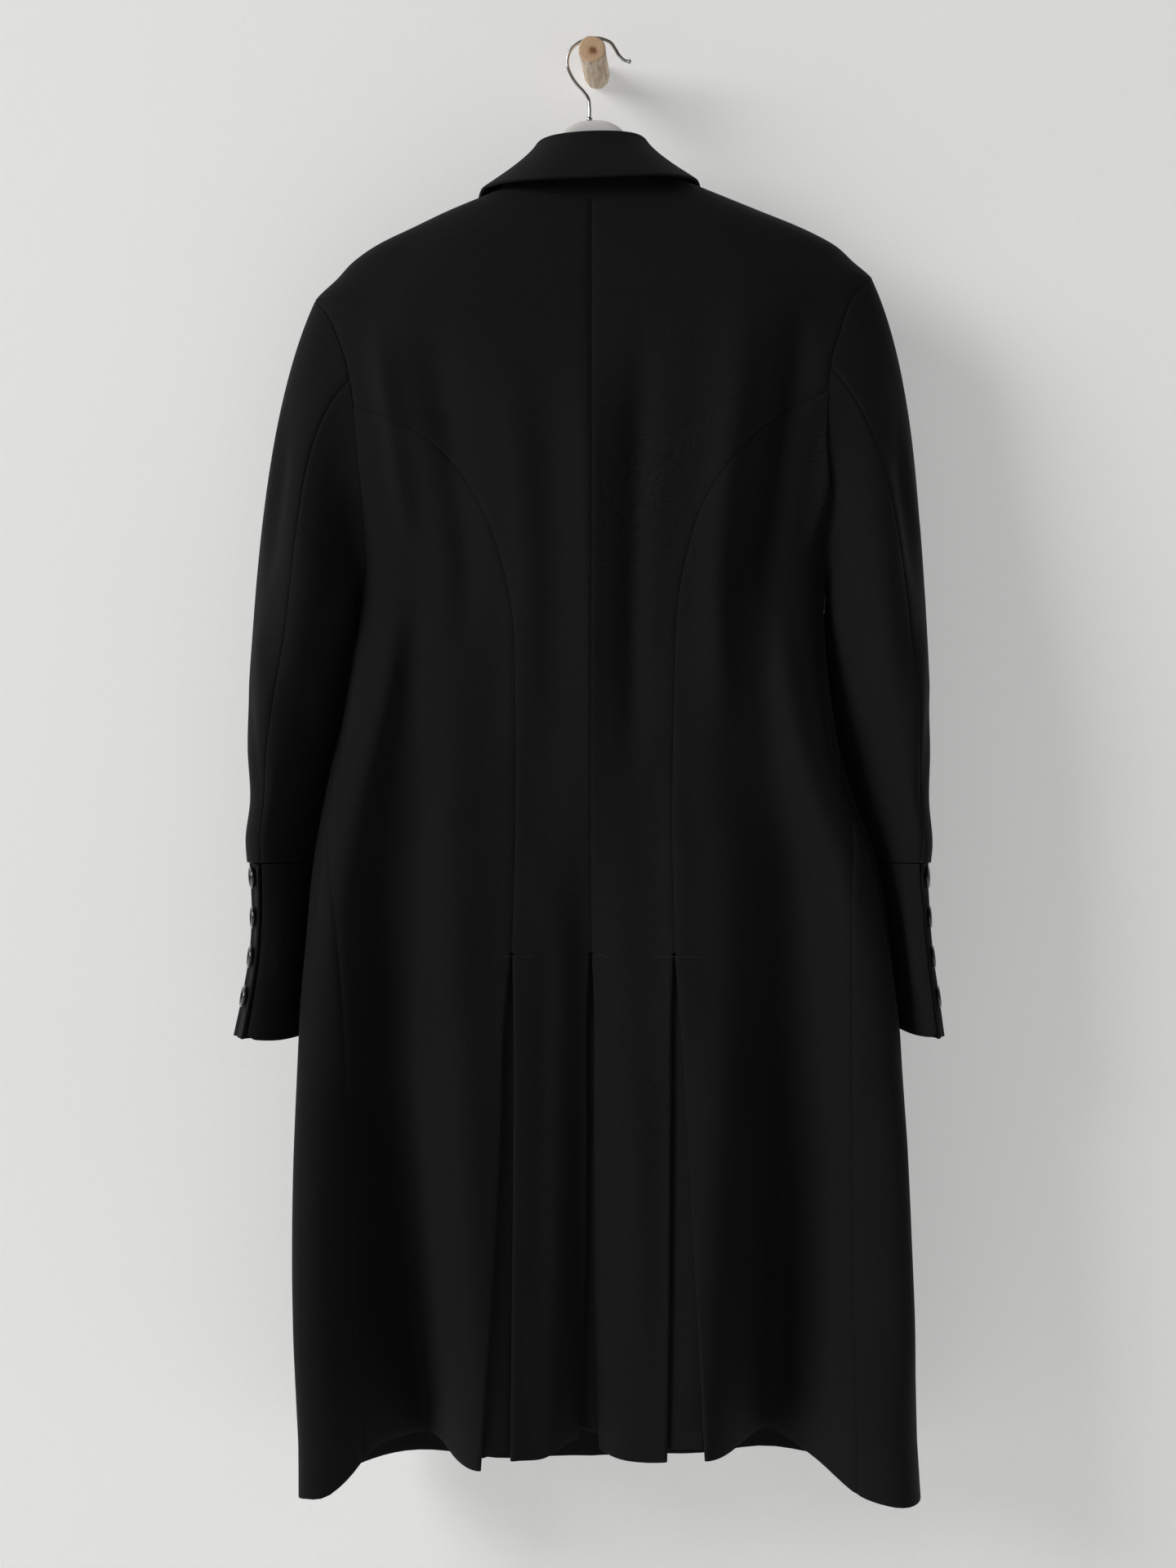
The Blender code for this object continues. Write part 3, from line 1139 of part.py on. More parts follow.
def build_hanger(white, steel, collection):
    """The moulded hanger and its wire hook"""
    steps = np.array([0, 0.007, 0.014, 0.020, 0.025, 0.030, 0.036, 0.044, 0.055, 0.072, 0.09, 0.12, 0.15,
                      0.18, 0.2, 0.205])
    outs = np.concatenate([-steps[:0:-1], steps])
    places = hanger_place(outs)
    runs = unit(np.gradient(places, axis=0))
    rings = []
    for place, run, out in zip(places, runs, outs):
        high, deep = read(HANGER, "high", abs(out)), read(HANGER, "deep", abs(out))
        shrink = 0.55 if abs(out) > 0.204 else 1.0
        across = np.cross(run, (0, 1, 0))
        turns = np.radians(np.arange(12) * 30)
        rings.append([place + across * math.cos(t) * high * shrink
                      + np.array((0, 1, 0)) * math.sin(t) * deep * shrink for t in turns])
    loft("hanger", rings, white, collection)

    path = stretch(HOOK, ("x", "z"))
    shares = np.linspace(0, 1, 34)
    curve = bpy.data.curves.new("hanger_hook", "CURVE")
    curve.dimensions = "3D"
    curve.bevel_depth = HOOK_WIRE
    curve.bevel_resolution = 2
    curve.use_fill_caps = True
    spline = curve.splines.new("POLY")
    spline.points.add(len(shares) - 1)
    for point, x, z in zip(spline.points, read(path, "x", shares), read(path, "z", shares)):
        point.co = (x, HANGER_DEPTH, z, 1)
    hook = bpy.data.objects.new("hanger_hook", curve)
    hook.data.materials.append(steel)
    collection.objects.link(hook)


def build_peg(wood, collection):
    """The round wooden peg, leaning a little to the left"""
    mesh = bmesh.new()
    bmesh.ops.create_cone(mesh, cap_ends=True, segments=28, radius1=PEG_END_RADIUS,
                          radius2=PEG_WALL_RADIUS, depth=PEG_LENGTH)
    bmesh.ops.rotate(mesh, verts=mesh.verts, matrix=Matrix.Rotation(math.radians(-90), 3, "X"))
    bmesh.ops.translate(mesh, verts=mesh.verts, vec=(0, -PEG_LENGTH / 2, 0))
    for vert in mesh.verts:
        vert.co.x += PEG_LEAN * -vert.co.y / PEG_LENGTH
    near = [edge for edge in mesh.edges if all(vert.co.y < -PEG_LENGTH + 0.001 for vert in edge.verts)]
    bmesh.ops.bevel(mesh, geom=near, offset=0.0008, segments=2, affect="EDGES")
    bmesh.ops.triangulate(mesh, faces=mesh.faces)
    finish("wall_peg", mesh, wood, collection)


def material(name, colour, roughness, metallic=0.0):
    """A Principled material of one colour"""
    made = bpy.data.materials.new(name)
    made.use_nodes = True
    shader = made.node_tree.nodes["Principled BSDF"]
    shader.inputs["Base Color"].default_value = (*colour, 1)
    shader.inputs["Roughness"].default_value = roughness
    shader.inputs["Metallic"].default_value = metallic
    made.diffuse_color = (*colour, 1)
    return made


def main():
    for old in list(bpy.data.objects):
        bpy.data.objects.remove(old, do_unlink=True)
    collection = bpy.data.collections.new(COLLECTION)
    bpy.context.scene.collection.children.link(collection)
    cloth = material("black_twill", (0.012, 0.012, 0.015), 0.85)
    horn = material("black_button", (0.010, 0.010, 0.011), 0.35)
    white = material("white_hanger", (0.80, 0.79, 0.77), 0.45)
    steel = material("bright_wire", (0.70, 0.69, 0.67), 0.25, 1.0)
    wood = material("pale_wood", (0.62, 0.45, 0.31), 0.65)

    edges = {}
    for side in ("left", "right"):
        build_back(side, cloth, collection, edges)
        build_side_back(side, cloth, collection, edges)
        build_front(side, cloth, collection)
        build_sleeve(side, cloth, collection)
        build_cuff(side, cloth, collection)
    for name in PLEATS:
        build_underlay(name, edges, cloth, collection)
    build_collar(cloth, collection)
    build_buttons(horn, collection)
    build_hanger(white, steel, collection)
    build_peg(wood, collection)


main()
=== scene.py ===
"""The looks of a long military coat of black twill on a hanger, hung from a wooden wall peg.

Metres, +Z up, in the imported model's own frame: the wall is the plane Y = 0 and the coat's back
faces -Y. "Drop" is the distance below the origin. An angle goes round the coat's body: 0 at the
centre back, 90 at the right side, 180 at the centre front and -90 at the left side.
"""
import math

import bmesh
import bpy
import numpy as np
from mathutils import Matrix, Vector


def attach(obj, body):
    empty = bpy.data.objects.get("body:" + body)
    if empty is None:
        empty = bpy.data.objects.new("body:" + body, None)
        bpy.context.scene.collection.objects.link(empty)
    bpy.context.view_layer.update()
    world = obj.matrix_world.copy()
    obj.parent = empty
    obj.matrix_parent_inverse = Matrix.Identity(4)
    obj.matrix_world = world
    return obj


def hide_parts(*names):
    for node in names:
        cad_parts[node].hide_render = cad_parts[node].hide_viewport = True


# Driving sizes
CLOTH = 0.0022
SEAM_GAP = 0.00004
HALF_GAP = SEAM_GAP / 2 + 0.00002
MIDDLE = -0.005
TILT = 0.04
PLEAT_TOP = 0.787
SQUARE_ACROSS = 0.08
SQUARE_DEEP = 0.25
BOWL_DEEP = 0.40
BOWL_CORNER = 10

PEG_LENGTH = 0.104
PEG_WALL_RADIUS = 0.0116
PEG_END_RADIUS = 0.0120
PEG_LEAN = -0.0047
PEG_SIDES = 72
PEG_END_PROFILE = ((0.0022, 0.995), (0.0012, 0.98), (0.0005, 0.95), (0.0001, 0.91), (0.0, 0.86),
                   (0.0, 0.5), (0.0, 0.2))
HANGER_DEPTH = -0.086
HOOK_WIRE = 0.0015
HOOK_BALL = 1.38
HOOK_POINTS = 150
WIRE_SIDES = 20
FERRULE_PROFILE = ((0, -0.0012), (0.0022, -0.0012), (0.0027, -0.0009), (0.0028, 0.0),
                   (0.0024, 0.0012), (0.0018, 0.0020), (0, 0.0021))
FERRULE_LIFT = 0.0012

CUFF_BUTTON = 0.0195
BUTTON_GAP = 0.0007
BUTTON_THICKNESS = 0.18
BUTTON_HOLES_OUT = 0.105
BUTTON_HOLE = 0.048
BUTTON_THREAD = 0.027
BUTTON_SHANK = 0.11
THREAD_CROSSING = 0.00035
HOLE_TURNS = (45, 135, 225, 315)
BUTTON_SIDES = 48
HOLE_SIDES = 14
THREAD_SIDES = 8
FRONT_BUTTON = 0.025
CUFF_BUTTON_FIRST = 0.0125
CUFF_BUTTON_SPACING = 0.0343
CUFF_BUTTON_TURN = 382.0
BUTTON_RIM_TURN = 10.0
FRONT_BUTTON_DROPS = (0.225, 0.340, 0.455, 0.570, 0.685)
FRONT_LAP = 0.025
LAP_DEPTH = 0.0031
LAP_STARTS = 200.0
LAP_EASES = 12.0
LAP_STOP = 0.82
EDGE_SLIP = 0.008


def table(columns, *rows):
    """A short table of sizes: each named column as an array, with the first column as its key"""
    names = columns.split()
    sizes = dict(zip(names, np.array(rows, float).T))
    sizes["key"] = sizes[names[0]]
    return sizes


# Half widths from the middle, the places of centre back, side and centre front, and how much the
# back is hollow between its sides, down the body
BODY = table("drop left right back side front bowl",
             (0.110, 0.057, 0.073, -0.122, -0.0900, -0.064, 0.00),
             (0.125, 0.090, 0.1105, -0.129, -0.0900, -0.058, 0.00),
             (0.140, 0.126, 0.1475, -0.135, -0.0900, -0.051, 0.00),
             (0.155, 0.157, 0.1840, -0.140, -0.0905, -0.046, 0.00),
             (0.170, 0.1875, 0.2125, -0.1435, -0.0910, -0.042, 0.00),
             (0.185, 0.2085, 0.2290, -0.147, -0.0915, -0.038, 0.00),
             (0.200, 0.2222, 0.2455, -0.150, -0.0920, -0.035, 0.00),
             (0.2187, 0.241, 0.250, -0.154, -0.0925, -0.032, 0.00),
             (0.260, 0.240, 0.249, -0.161, -0.0925, -0.028, 0.00),
             (0.350, 0.220, 0.227, -0.168, -0.0925, -0.021, 0.00),
             (0.470, 0.199, 0.2030, -0.165, -0.0925, -0.018, 0.05),
             (0.520, 0.205, 0.2035, -0.161, -0.0925, -0.017, 0.35),
             (0.580, 0.2155, 0.2095, -0.156, -0.0925, -0.017, 0.70),
             (0.640, 0.2285, 0.2225, -0.155, -0.0930, -0.017, 0.75),
             (0.700, 0.2390, 0.2445, -0.158, -0.0940, -0.018, 0.65),
             (0.787, 0.2455, 0.2590, -0.165, -0.0970, -0.019, 0.50),
             (0.900, 0.2500, 0.2670, -0.172, -0.1010, -0.021, 0.30),
             (1.050, 0.2515, 0.2740, -0.180, -0.1060, -0.024, 0.15),
             (1.250, 0.2435, 0.2830, -0.186, -0.1120, -0.028, 0.00))

# The hanging folds: where each crest or hollow runs, from the shoulder blades to the hem,
# its half width in degrees and how far it stands out (or in, if negative) at the hem
FOLDS = table("top hem width depth",
              (0.0, -1.0, 4.2, -0.036),
              (-37.0, -21.0, 7.5, 0.024),
              (-50.0, -37.0, 10.0, -0.075),
              (-74.0, -58.5, 12.0, 0.052),
              (30.0, 18.5, 7.0, 0.026),
              (50.0, 33.5, 9.5, -0.075),
              (74.0, 57.0, 13.0, 0.048),
              (-104.0, -108.0, 13.0, -0.018),
              (-140.0, -136.0, 12.0, 0.012),
              (-160.0, -162.0, 9.0, -0.022),
              (102.0, 106.0, 13.0, -0.018),
              (136.0, 133.0, 11.0, 0.013),
              (157.0, 160.0, 9.0, -0.020))
FOLDS_START = 0.2
FOLD_GROWTH = table("drop share",
                    (0.14, 0.00), (0.24, 0.05), (0.40, 0.07), (0.52, 0.10), (0.64, 0.19),
                    (0.787, 0.38), (0.95, 0.60), (1.10, 0.80), (1.25, 1.00))

# The hem's drop round the coat
HEM = table("angle drop",
            (-180, 1.2420), (-160, 1.2395), (-145, 1.2365), (-128, 1.2430), (-110, 1.2460),
            (-90, 1.2470), (-72, 1.2465), (-60, 1.2425), (-54, 1.2385), (-51, 1.2270),
            (-48, 1.2100), (-42, 1.2040), (-36, 1.2055), (-31, 1.2075), (-27, 1.2145),
            (-21, 1.2192), (-15, 1.2125), (-9, 1.2118), (-3, 1.2010), (3, 1.2120),
            (9, 1.2145), (15, 1.2110), (21, 1.2100), (27, 1.2045), (33, 1.2000),
            (37, 1.2075), (42, 1.2195), (48, 1.2405), (54, 1.2480), (66, 1.2480),
            (90, 1.2470), (115, 1.2460), (133, 1.2430), (150, 1.2315), (165, 1.2375),
            (180, 1.2420))

MEAN_HEM = 1.21
FRONT_HEM = 1.243

# The seams that run down the body: the drop and the distance from the origin at each row
PRINCESS = {
    "left": table("row x drop",
                  (0, -0.2102, 0.3157), (1, -0.1775, 0.3274), (2, -0.1473, 0.3451),
                  (3, -0.1210, 0.3718), (4, -0.0979, 0.4081), (5, -0.0764, 0.4738),
                  (6, -0.0705, 0.5795), (7, -0.0704, 0.6700), (8, -0.0730, 0.7870)),
    "right": table("row x drop",
                   (0, 0.1999, 0.3017), (1, 0.1693, 0.3178), (2, 0.1358, 0.3402),
                   (3, 0.1093, 0.3686), (4, 0.0928, 0.3950), (5, 0.0731, 0.4571),
                   (6, 0.0650, 0.5795), (7, 0.0640, 0.6700), (8, 0.0658, 0.7870)),
}
SIDE_SEAM = table("drop left right",
                  (0.470, 90.0, 90.0), (0.580, 85.0, 84.0), (0.700, 64.0, 61.0),
                  (0.787, 57.5, 55.5), (0.900, 53.5, 52.5), (1.050, 50.5, 50.0),
                  (1.250, 48.5, 48.0))
ARMHOLE = {
    "left": table("row x drop scoop",
                  (0, 0.2460, 0.2187, 0.000), (1, 0.2350, 0.2325, 0.001), (2, 0.2225, 0.2600, 0.004),
                  (3, 0.2102, 0.3157, 0.009), (4, 0.2065, 0.3500, 0.011), (5, 0.2010, 0.3950, 0.011),
                  (6, 0.1980, 0.4350, 0.007), (7, 0.1985, 0.4580, 0.002), (8, 0.2030, 0.4700, 0.000)),
    "right": table("row x drop scoop",
                   (0, 0.2397, 0.1990, 0.000), (1, 0.2240, 0.2150, 0.001), (2, 0.2085, 0.2560, 0.004),
                   (3, 0.1999, 0.3017, 0.009), (4, 0.1955, 0.3480, 0.011), (5, 0.1945, 0.3950, 0.011),
                   (6, 0.1935, 0.4330, 0.007), (7, 0.1945, 0.4560, 0.002), (8, 0.1985, 0.4680, 0.000)),
}
NECK_POINT = {"left": 0.1205, "right": 0.1125}
NECK_BACK = 0.1357
NECK_FRONT = 0.195
NECK_MIDDLE = (MIDDLE, -0.08, -0.12)

# The three inverted pleats: the places of the two folded edges and how far each return opens
PLEATS = {
    "left": table("drop first second first_open second_open",
                  (0.787, -0.0732, -0.0728, 0.00, 0.00), (0.827, -0.0775, -0.0718, 0.00, 0.01),
                  (0.950, -0.0812, -0.0714, 0.01, 0.03), (1.110, -0.0898, -0.0722, 0.03, 0.05),
                  (1.250, -0.1010, -0.0724, 0.05, 0.08)),
    "middle": table("drop first second first_open second_open",
                    (0.787, -0.0060, -0.0056, 0.00, 0.00), (0.827, -0.0076, -0.0040, 0.02, 0.02),
                    (0.950, -0.0078, -0.0040, 0.05, 0.05), (1.110, -0.0100, -0.0032, 0.09, 0.09),
                    (1.250, -0.0170, 0.0006, 0.14, 0.14)),
    "right": table("drop first second first_open second_open",
                   (0.787, 0.0656, 0.0660, 0.00, 0.00), (0.827, 0.0640, 0.0695, 0.01, 0.00),
                   (0.950, 0.0622, 0.0757, 0.03, 0.01), (1.110, 0.0603, 0.0842, 0.05, 0.03),
                   (1.250, 0.0566, 0.0930, 0.08, 0.05)),
}
FOLD_RADIUS = 0.0014
FOLD_TURNS = (30, 60, 90, 120, 150, 180)
RETURN_COLUMNS = 7
PLEAT_GAP = 0.0008
UNDERLAY_ABOVE = 0.008
UNDERLAY_SHORT = 0.010
UNDERLAY_OUT = 0.002

# The sleeves: the inner and outer sides as distances from the origin's plane, and back and front
SLEEVE = {
    "left": table("drop inner outer back front",
                  (0.500, 0.2105, 0.2998, -0.163, -0.024), (0.560, 0.2158, 0.3020, -0.163, -0.022),
                  (0.610, 0.2230, 0.3020, -0.162, -0.022), (0.655, 0.2325, 0.2995, -0.160, -0.024),
                  (0.690, 0.2384, 0.3035, -0.158, -0.026),
                  (0.712, 0.2407, 0.3020, -0.158, -0.026), (0.750, 0.2443, 0.3005, -0.158, -0.027),
                  (0.787, 0.2464, 0.3025, -0.158, -0.028), (0.823, 0.2479, 0.3085, -0.159, -0.029),
                  (0.860, 0.2497, 0.3165, -0.159, -0.030)),
    "right": table("drop inner outer back front",
                   (0.500, 0.1995, 0.2870, -0.163, -0.024), (0.560, 0.1999, 0.2880, -0.163, -0.022),
                   (0.610, 0.2063, 0.2875, -0.163, -0.022), (0.655, 0.2189, 0.2858, -0.163, -0.024),
                   (0.695, 0.2336, 0.2885, -0.163, -0.026),
                   (0.712, 0.2376, 0.2870, -0.163, -0.026), (0.750, 0.2453, 0.2885, -0.163, -0.027),
                   (0.787, 0.2496, 0.2915, -0.163, -0.028), (0.823, 0.2527, 0.2965, -0.163, -0.029),
                   (0.860, 0.2551, 0.3015, -0.163, -0.030)),
}
SLEEVE_LEAN = table("drop turn", (0.500, 5), (0.560, 20), (0.610, 30), (0.700, 34), (0.760, 30),
                    (0.860, 29))
SLEEVE_RING = 0.500
SLEEVE_MIDDLE_TOP = 0.36
ELBOW_SHARE = 0.6
ARMHOLE_SHARE = 0.40
SLEEVE_PULL = 0.85
ELBOW_SEAM = {
    "left": table("reach turn", (0.0, 67.0), (0.40, 77.0), (0.60, 66.0), (0.80, 56.0), (1.0, 58.0)),
    "right": table("reach turn", (0.0, 67.0), (0.40, 57.0), (0.60, 47.0), (0.80, 44.0), (1.0, 58.0)),
}
FRONT_SEAM_TURN = -108.0
FRONT_SEAM_STOP = 0.62
LEAVE_SLOPE = table("turn slope", (-180, 60), (-90, 38), (0, 65), (90, 38), (180, 60))
CUFF_TOP = 0.7085
CUFF_BOTTOM = {"left": (0.8590, 0.0), "right": (0.8550, 0.0045)}
CUFF_EDGE_TURN = 60.0
CUFF_UNDERLAP = 4.0
CUFF_INSET = 0.0050
CUFF_DIP_STARTS = 350.0
CUFF_DIP_EASES = 15.0

# The collar: the roll line's half width, and the fall's edge round the neck
ROLL_HALF_WIDTH = 0.0455
ROLL_BACK = -0.1180
ROLL_FRONT = -0.0420
ROLL_DROP = 0.0790
ROLL_FRONT_DROP = 0.155
ROLL_FALL = 3.2
ROLL_RADIUS = 0.0030
STAND_BULGE = -0.001
FALL_BULGE = 0.0005
FALL_MIDDLE = -0.0066
FALL_PULL = 0.7
FALL_LIFT = 0.0002
FALL_OUT = 0.004
UPRIGHT_ROWS = 6
STAND_END = 0.0015
ROLL_TURNS = (0, 15, 30, 45, 60, 75, 90, 105, 120, 135, 150)
STAND_STEPS = 16
FALL_STEPS = 26
COLLAR_END = 177.0
FALL_EDGE = table("turn out y drop",
                  (0, 0.000, -0.1500, 0.1205), (25, 0.039, -0.1475, 0.1200),
                  (45, 0.065, -0.1380, 0.1190), (65, 0.083, -0.1200, 0.1180),
                  (90, 0.0955, -0.0880, 0.1185), (105, 0.0990, -0.0640, 0.1285),
                  (120, 0.1000, -0.0440, 0.1480), (150, 0.0920, -0.0290, 0.2000),
                  (180, 0.0780, -0.0225, 0.2430))

# The hanger: its top edge and section along one arm
HANGER = table("out drop high deep",
               (0.000, 0.0582, 0.010, 0.0050), (0.014, 0.0602, 0.010, 0.0050),
               (0.026, 0.0690, 0.009, 0.0055), (0.036, 0.0880, 0.007, 0.0060),
               (0.052, 0.1140, 0.007, 0.0070), (0.080, 0.1320, 0.007, 0.0080),
               (0.130, 0.1520, 0.007, 0.0090), (0.180, 0.1760, 0.006, 0.0100),
               (0.205, 0.1940, 0.005, 0.0090))
HANGER_REST = (0.075, 0.110)
HANGER_GAP = 0.0016
SLOPING_CLOTH = 1.3
HANGER_BEND = 0.006
HANGER_BEND_REACH = 0.15
HANGER_SIDES = 28
ARM_ROUND = 0.2
ARM_ROUND_LENGTH = 0.0052
ARM_END_STATIONS = (0.2025, 0.2040, 0.2048, 0.2050)
HOOK = table("row x z",
             (0, -0.0068, -0.0578), (1, -0.0068, -0.0460), (2, -0.0080, -0.0388), (3, -0.0116, -0.0337),
             (4, -0.0182, -0.0264), (5, -0.0233, -0.0183), (6, -0.0262, -0.0103), (7, -0.0255, -0.0015),
             (8, -0.0219, 0.0051), (9, -0.0153, 0.0102), (10, -0.0052, 0.0138), (11, 0.0059, 0.0126),
             (12, 0.0118, 0.0098), (13, 0.0162, 0.0036), (14, 0.0199, -0.0022), (15, 0.0242, -0.0059),
             (16, 0.0272, -0.0066))

# The looks: seams, twill, colours, light and view
LIE = "lie of the cloth"
EDGE_SOFTNESS = 0.0006
EDGE_ANGLE = 50
SHARP_ANGLE = 38
TURNING_HEIGHT = 0.00022
TURNING_MIDDLE = 0.006
TURNING_WIDTH = 0.0035
SEAM_DIP = 0.0007
CENTRE_SLANT = 0.0013
SLANT_COLUMNS = 4
CUFF_SEAM = 0.0009
CUFF_DROOP = 0.0024
CUFF_DROOP_TURN = 105.0
CUFF_DROOP_WIDTH = 34.0
CUFF_CORNER = 0.0030
CUFF_CORNER_WIDTH = 8.0
SLIT_DEPTH = 0.0045
SLIT_STARTS = 402.0
SLIT_EASES = 12.0
STRIP_BULGE = 0.0080
STRIP_TURN = 401.0
STRIP_WIDTH = 6.5
STRIP_EASES = 0.010
SEAM_REACH = 0.0013
CUFF_ROWS = 40
WAVE_LENGTH = 0.31416
TWILL_PITCH = 0.0012
YARN_PITCH = 0.0008
TWILL_LEAN = 27.0
CLOTH_DARK = (0.0066, 0.0066, 0.0074)
CLOTH_LIGHT = (0.0124, 0.0124, 0.0134)
CLOTH_SHEEN = 0.03
BUTTON_SPINS = (12, 57, 31, 80, 5)
PLEAT_TACKS = {"left": (-0.0895, -0.0560), "middle": (-0.0010, 0.0060), "right": (0.0480, 0.0890)}
PLEAT_TACK_DROP = 0.7880
TACK_LIFT = 0.0001
STITCH_SIZES = {"Spacing": 0.0030, "Length": 0.0023, "Thickness": 0.00045, "Slant": 0.12}
TACK_SIZES = {"Spacing": 0.0027, "Length": 0.0021, "Thickness": 0.0005}
WHITE = (1.0, 1.0, 1.0)
HEART_SHIFT = (-PEG_LEAN - 0.0006, 0, 0.0016)
HEART_WANDER = 0.0055
WALL_LOW = (0.70, 0.70, 0.695)
WALL_HIGH = (0.74, 0.74, 0.735)
ROOM_COLOUR = (1.0, 0.995, 0.985)
ROOM_STRENGTH = 0.06
WALL_GLOW = 0.42

# Each light's name, place, target, width, height, power, spread and colour
LIGHTS = (("window", (-4.7, -3.3, 1.9), (-0.05, 0, 0.05), 3.0, 3.0, 36, 65, (1.0, 0.998, 0.985)),
          ("fill", (1.0, -4.2, -0.6), (0, 0, -0.4), 2.2, 2.0, 5, 180, (1.0, 0.998, 0.99)))

# The view, fitted to the photograph: the lens is stated by its focal length in the photo's pixels
CAMERA_PLACE = (-0.0081, -2.8, -0.641)
CAMERA_FOCUS = 3786.0
CAMERA_SENSOR = 36.0
PHOTO_HEIGHT = 1920

# How finely the cloth is divided, and how often an angle or a hem level is corrected
ANGLE_ROUNDS = 12
HEM_ROUNDS = 6
FINE = 6
SHOULDER_STEPS = 6 * FINE
BACK_NECK_STEPS = 7 * FINE
FRONT_NECK_STEPS = 8 * FINE
LAP_STEPS = FINE
ARM_TOP_STEPS = 5
ARM_BACK_STEPS = 8
ARM_FRONT_LOW_STEPS = 4
ARM_FRONT_HIGH_STEPS = 7
ARM_CROWD = 1.35
NECK_CROWD = 1.5
FRONT_CROWD = 1.4
NECK_FADE = 3
SEAM_STEPS = 110
SKIRT_STEPS = 84
SLEEVE_HEAD_STEPS = 40
SLEEVE_LOW_STEPS = 60
CUFF_STEPS = 210
SIDE_STOPS = np.array([0, 0.08, 0.16, 0.25, 0.34, 0.44, 0.56, 0.70, 0.85, 0.992, 1.0])
PRINCESS_STOPS = np.array([0, 0.065, 0.13, 0.195, 0.26, 0.33, 0.42, 0.55, 0.76, 0.995, 1.0])


def finer(stops):
    """Puts more places between the given ones"""
    cells = len(stops) - 1
    return np.interp(np.linspace(0, cells, cells * FINE + 1), np.arange(cells + 1), stops)


def princess_stops():
    """Places down the princess seam, the last a short step to the top of the pleats"""
    return np.append(np.linspace(0, PRINCESS_STOPS[-2], SEAM_STEPS), 1.0)


def glide(share, start, leave, end, arrive):
    """A place on a smooth curve from a start to an end, with a pull away from each"""
    rest = 1 - share
    return ((1 + 2 * share) * rest ** 2 * start + share * rest ** 2 * leave
            + share ** 2 * (3 - 2 * share) * end - share ** 2 * rest * arrive)


def read(sizes, column, at):
    """A column of a table at any value of its key, on a smooth curve through the rows"""
    keys, values = sizes["key"], sizes[column]
    slopes = np.gradient(values, keys)
    at = np.clip(np.asarray(at, float), keys[0], keys[-1])
    cell = np.clip(np.searchsorted(keys, at, side="right") - 1, 0, len(keys) - 2)
    span = keys[cell + 1] - keys[cell]
    return glide((at - keys[cell]) / span, values[cell], span * slopes[cell],
                 values[cell + 1], span * slopes[cell + 1])


def ease(value):
    """A soft step from 0 to 1"""
    value = np.clip(value, 0.0, 1.0)
    return value * value * (3 - 2 * value)


def bell(away, width):
    """A smooth bump: 1 in its middle, fading to 0 beyond its half width"""
    return np.exp(-(away / width) ** 2)


def unit(vectors):
    """Vectors of length 1"""
    return vectors / np.linalg.norm(vectors, axis=-1, keepdims=True)


def sign_of(side):
    """-1 for the left side and 1 for the right"""
    return -1.0 if side == "left" else 1.0


def stretch(sizes, columns):
    """A table's rows keyed by the length along them, from 0 to 1"""
    points = np.stack([sizes[name] for name in columns], axis=-1)
    lengths = np.concatenate([[0], np.cumsum(np.linalg.norm(np.diff(points, axis=0), axis=1))])
    path = {name: sizes[name] for name in sizes if name != "key"}
    path["key"] = lengths / lengths[-1]
    return path


# The body's surface

def half_width(sine, drop):
    """The body's half width on the side that a sign points to"""
    return np.where(sine < 0, read(BODY, "left", drop), read(BODY, "right", drop))


def body_ring(angle, drop):
    """The body without its folds, at one height"""
    turn = np.radians(angle)
    sine, cosine = np.sin(turn), np.cos(turn)
    x = MIDDLE + half_width(sine, drop) * sine * (1 + SQUARE_ACROSS * cosine ** 2)
    side = read(BODY, "side", drop)
    reach = np.where(cosine > 0, read(BODY, "back", drop), read(BODY, "front", drop)) - side
    rounded = np.abs(cosine) * (1 + SQUARE_DEEP * sine ** 2)
    hollow = np.sqrt(np.clip(1 - sine ** BOWL_CORNER, 0, 1)) * (1 + BOWL_DEEP * sine ** 2)
    share = np.where(cosine > 0, read(BODY, "bowl", drop), 0)
    return x, side + reach * (rounded + (hollow - rounded) * share)


def fold_height(angle, drop):
    """How far the folds stand out of the ring"""
    share = np.clip(np.asarray(drop) - FOLDS_START, 0, 1)
    total = np.zeros(np.broadcast(angle, drop).shape)
    for top, hem, width, depth in zip(FOLDS["top"], FOLDS["hem"], FOLDS["width"], FOLDS["depth"]):
        away = (angle - (top + (hem - top) * share) + 180) % 360 - 180
        total = total + depth * bell(away, width)
    return total * read(FOLD_GROWTH, "share", drop)


def body_point(angle, drop):
    """The outer face of the coat's body"""
    angle, drop = np.broadcast_arrays(np.asarray(angle, float), np.asarray(drop, float))
    x, y = body_ring(angle, drop)
    ahead, behind = body_ring(angle + 0.5, drop), body_ring(angle - 0.5, drop)
    along = unit(np.stack([ahead[0] - behind[0], ahead[1] - behind[1]], axis=-1))
    height = fold_height(angle, drop)
    return np.stack([x + along[..., 1] * height, y - along[..., 0] * height, -drop], axis=-1)


def body_normal(angle, drop):
    """The direction out of the body's surface"""
    across = body_point(angle + 0.3, drop) - body_point(angle - 0.3, drop)
    down = body_point(angle, drop + 0.001) - body_point(angle, drop - 0.001)
    return unit(np.cross(down, across))


def angle_at(x, drop, front=False):
    """The angle at which the body's ring has a given x"""
    x = np.asarray(x, float)
    share = np.clip((x - MIDDLE) / half_width(x - MIDDLE, drop), -1, 1)
    sine = share.copy()
    for _ in range(ANGLE_ROUNDS):
        excess = sine + SQUARE_ACROSS * sine * (1 - sine ** 2) - share
        sine = sine - excess / (1 + SQUARE_ACROSS - 3 * SQUARE_ACROSS * sine ** 2)
    angle = np.degrees(np.arcsin(np.clip(sine, -1, 1)))
    return np.where(x < MIDDLE, -180 - angle, 180 - angle) if front else angle


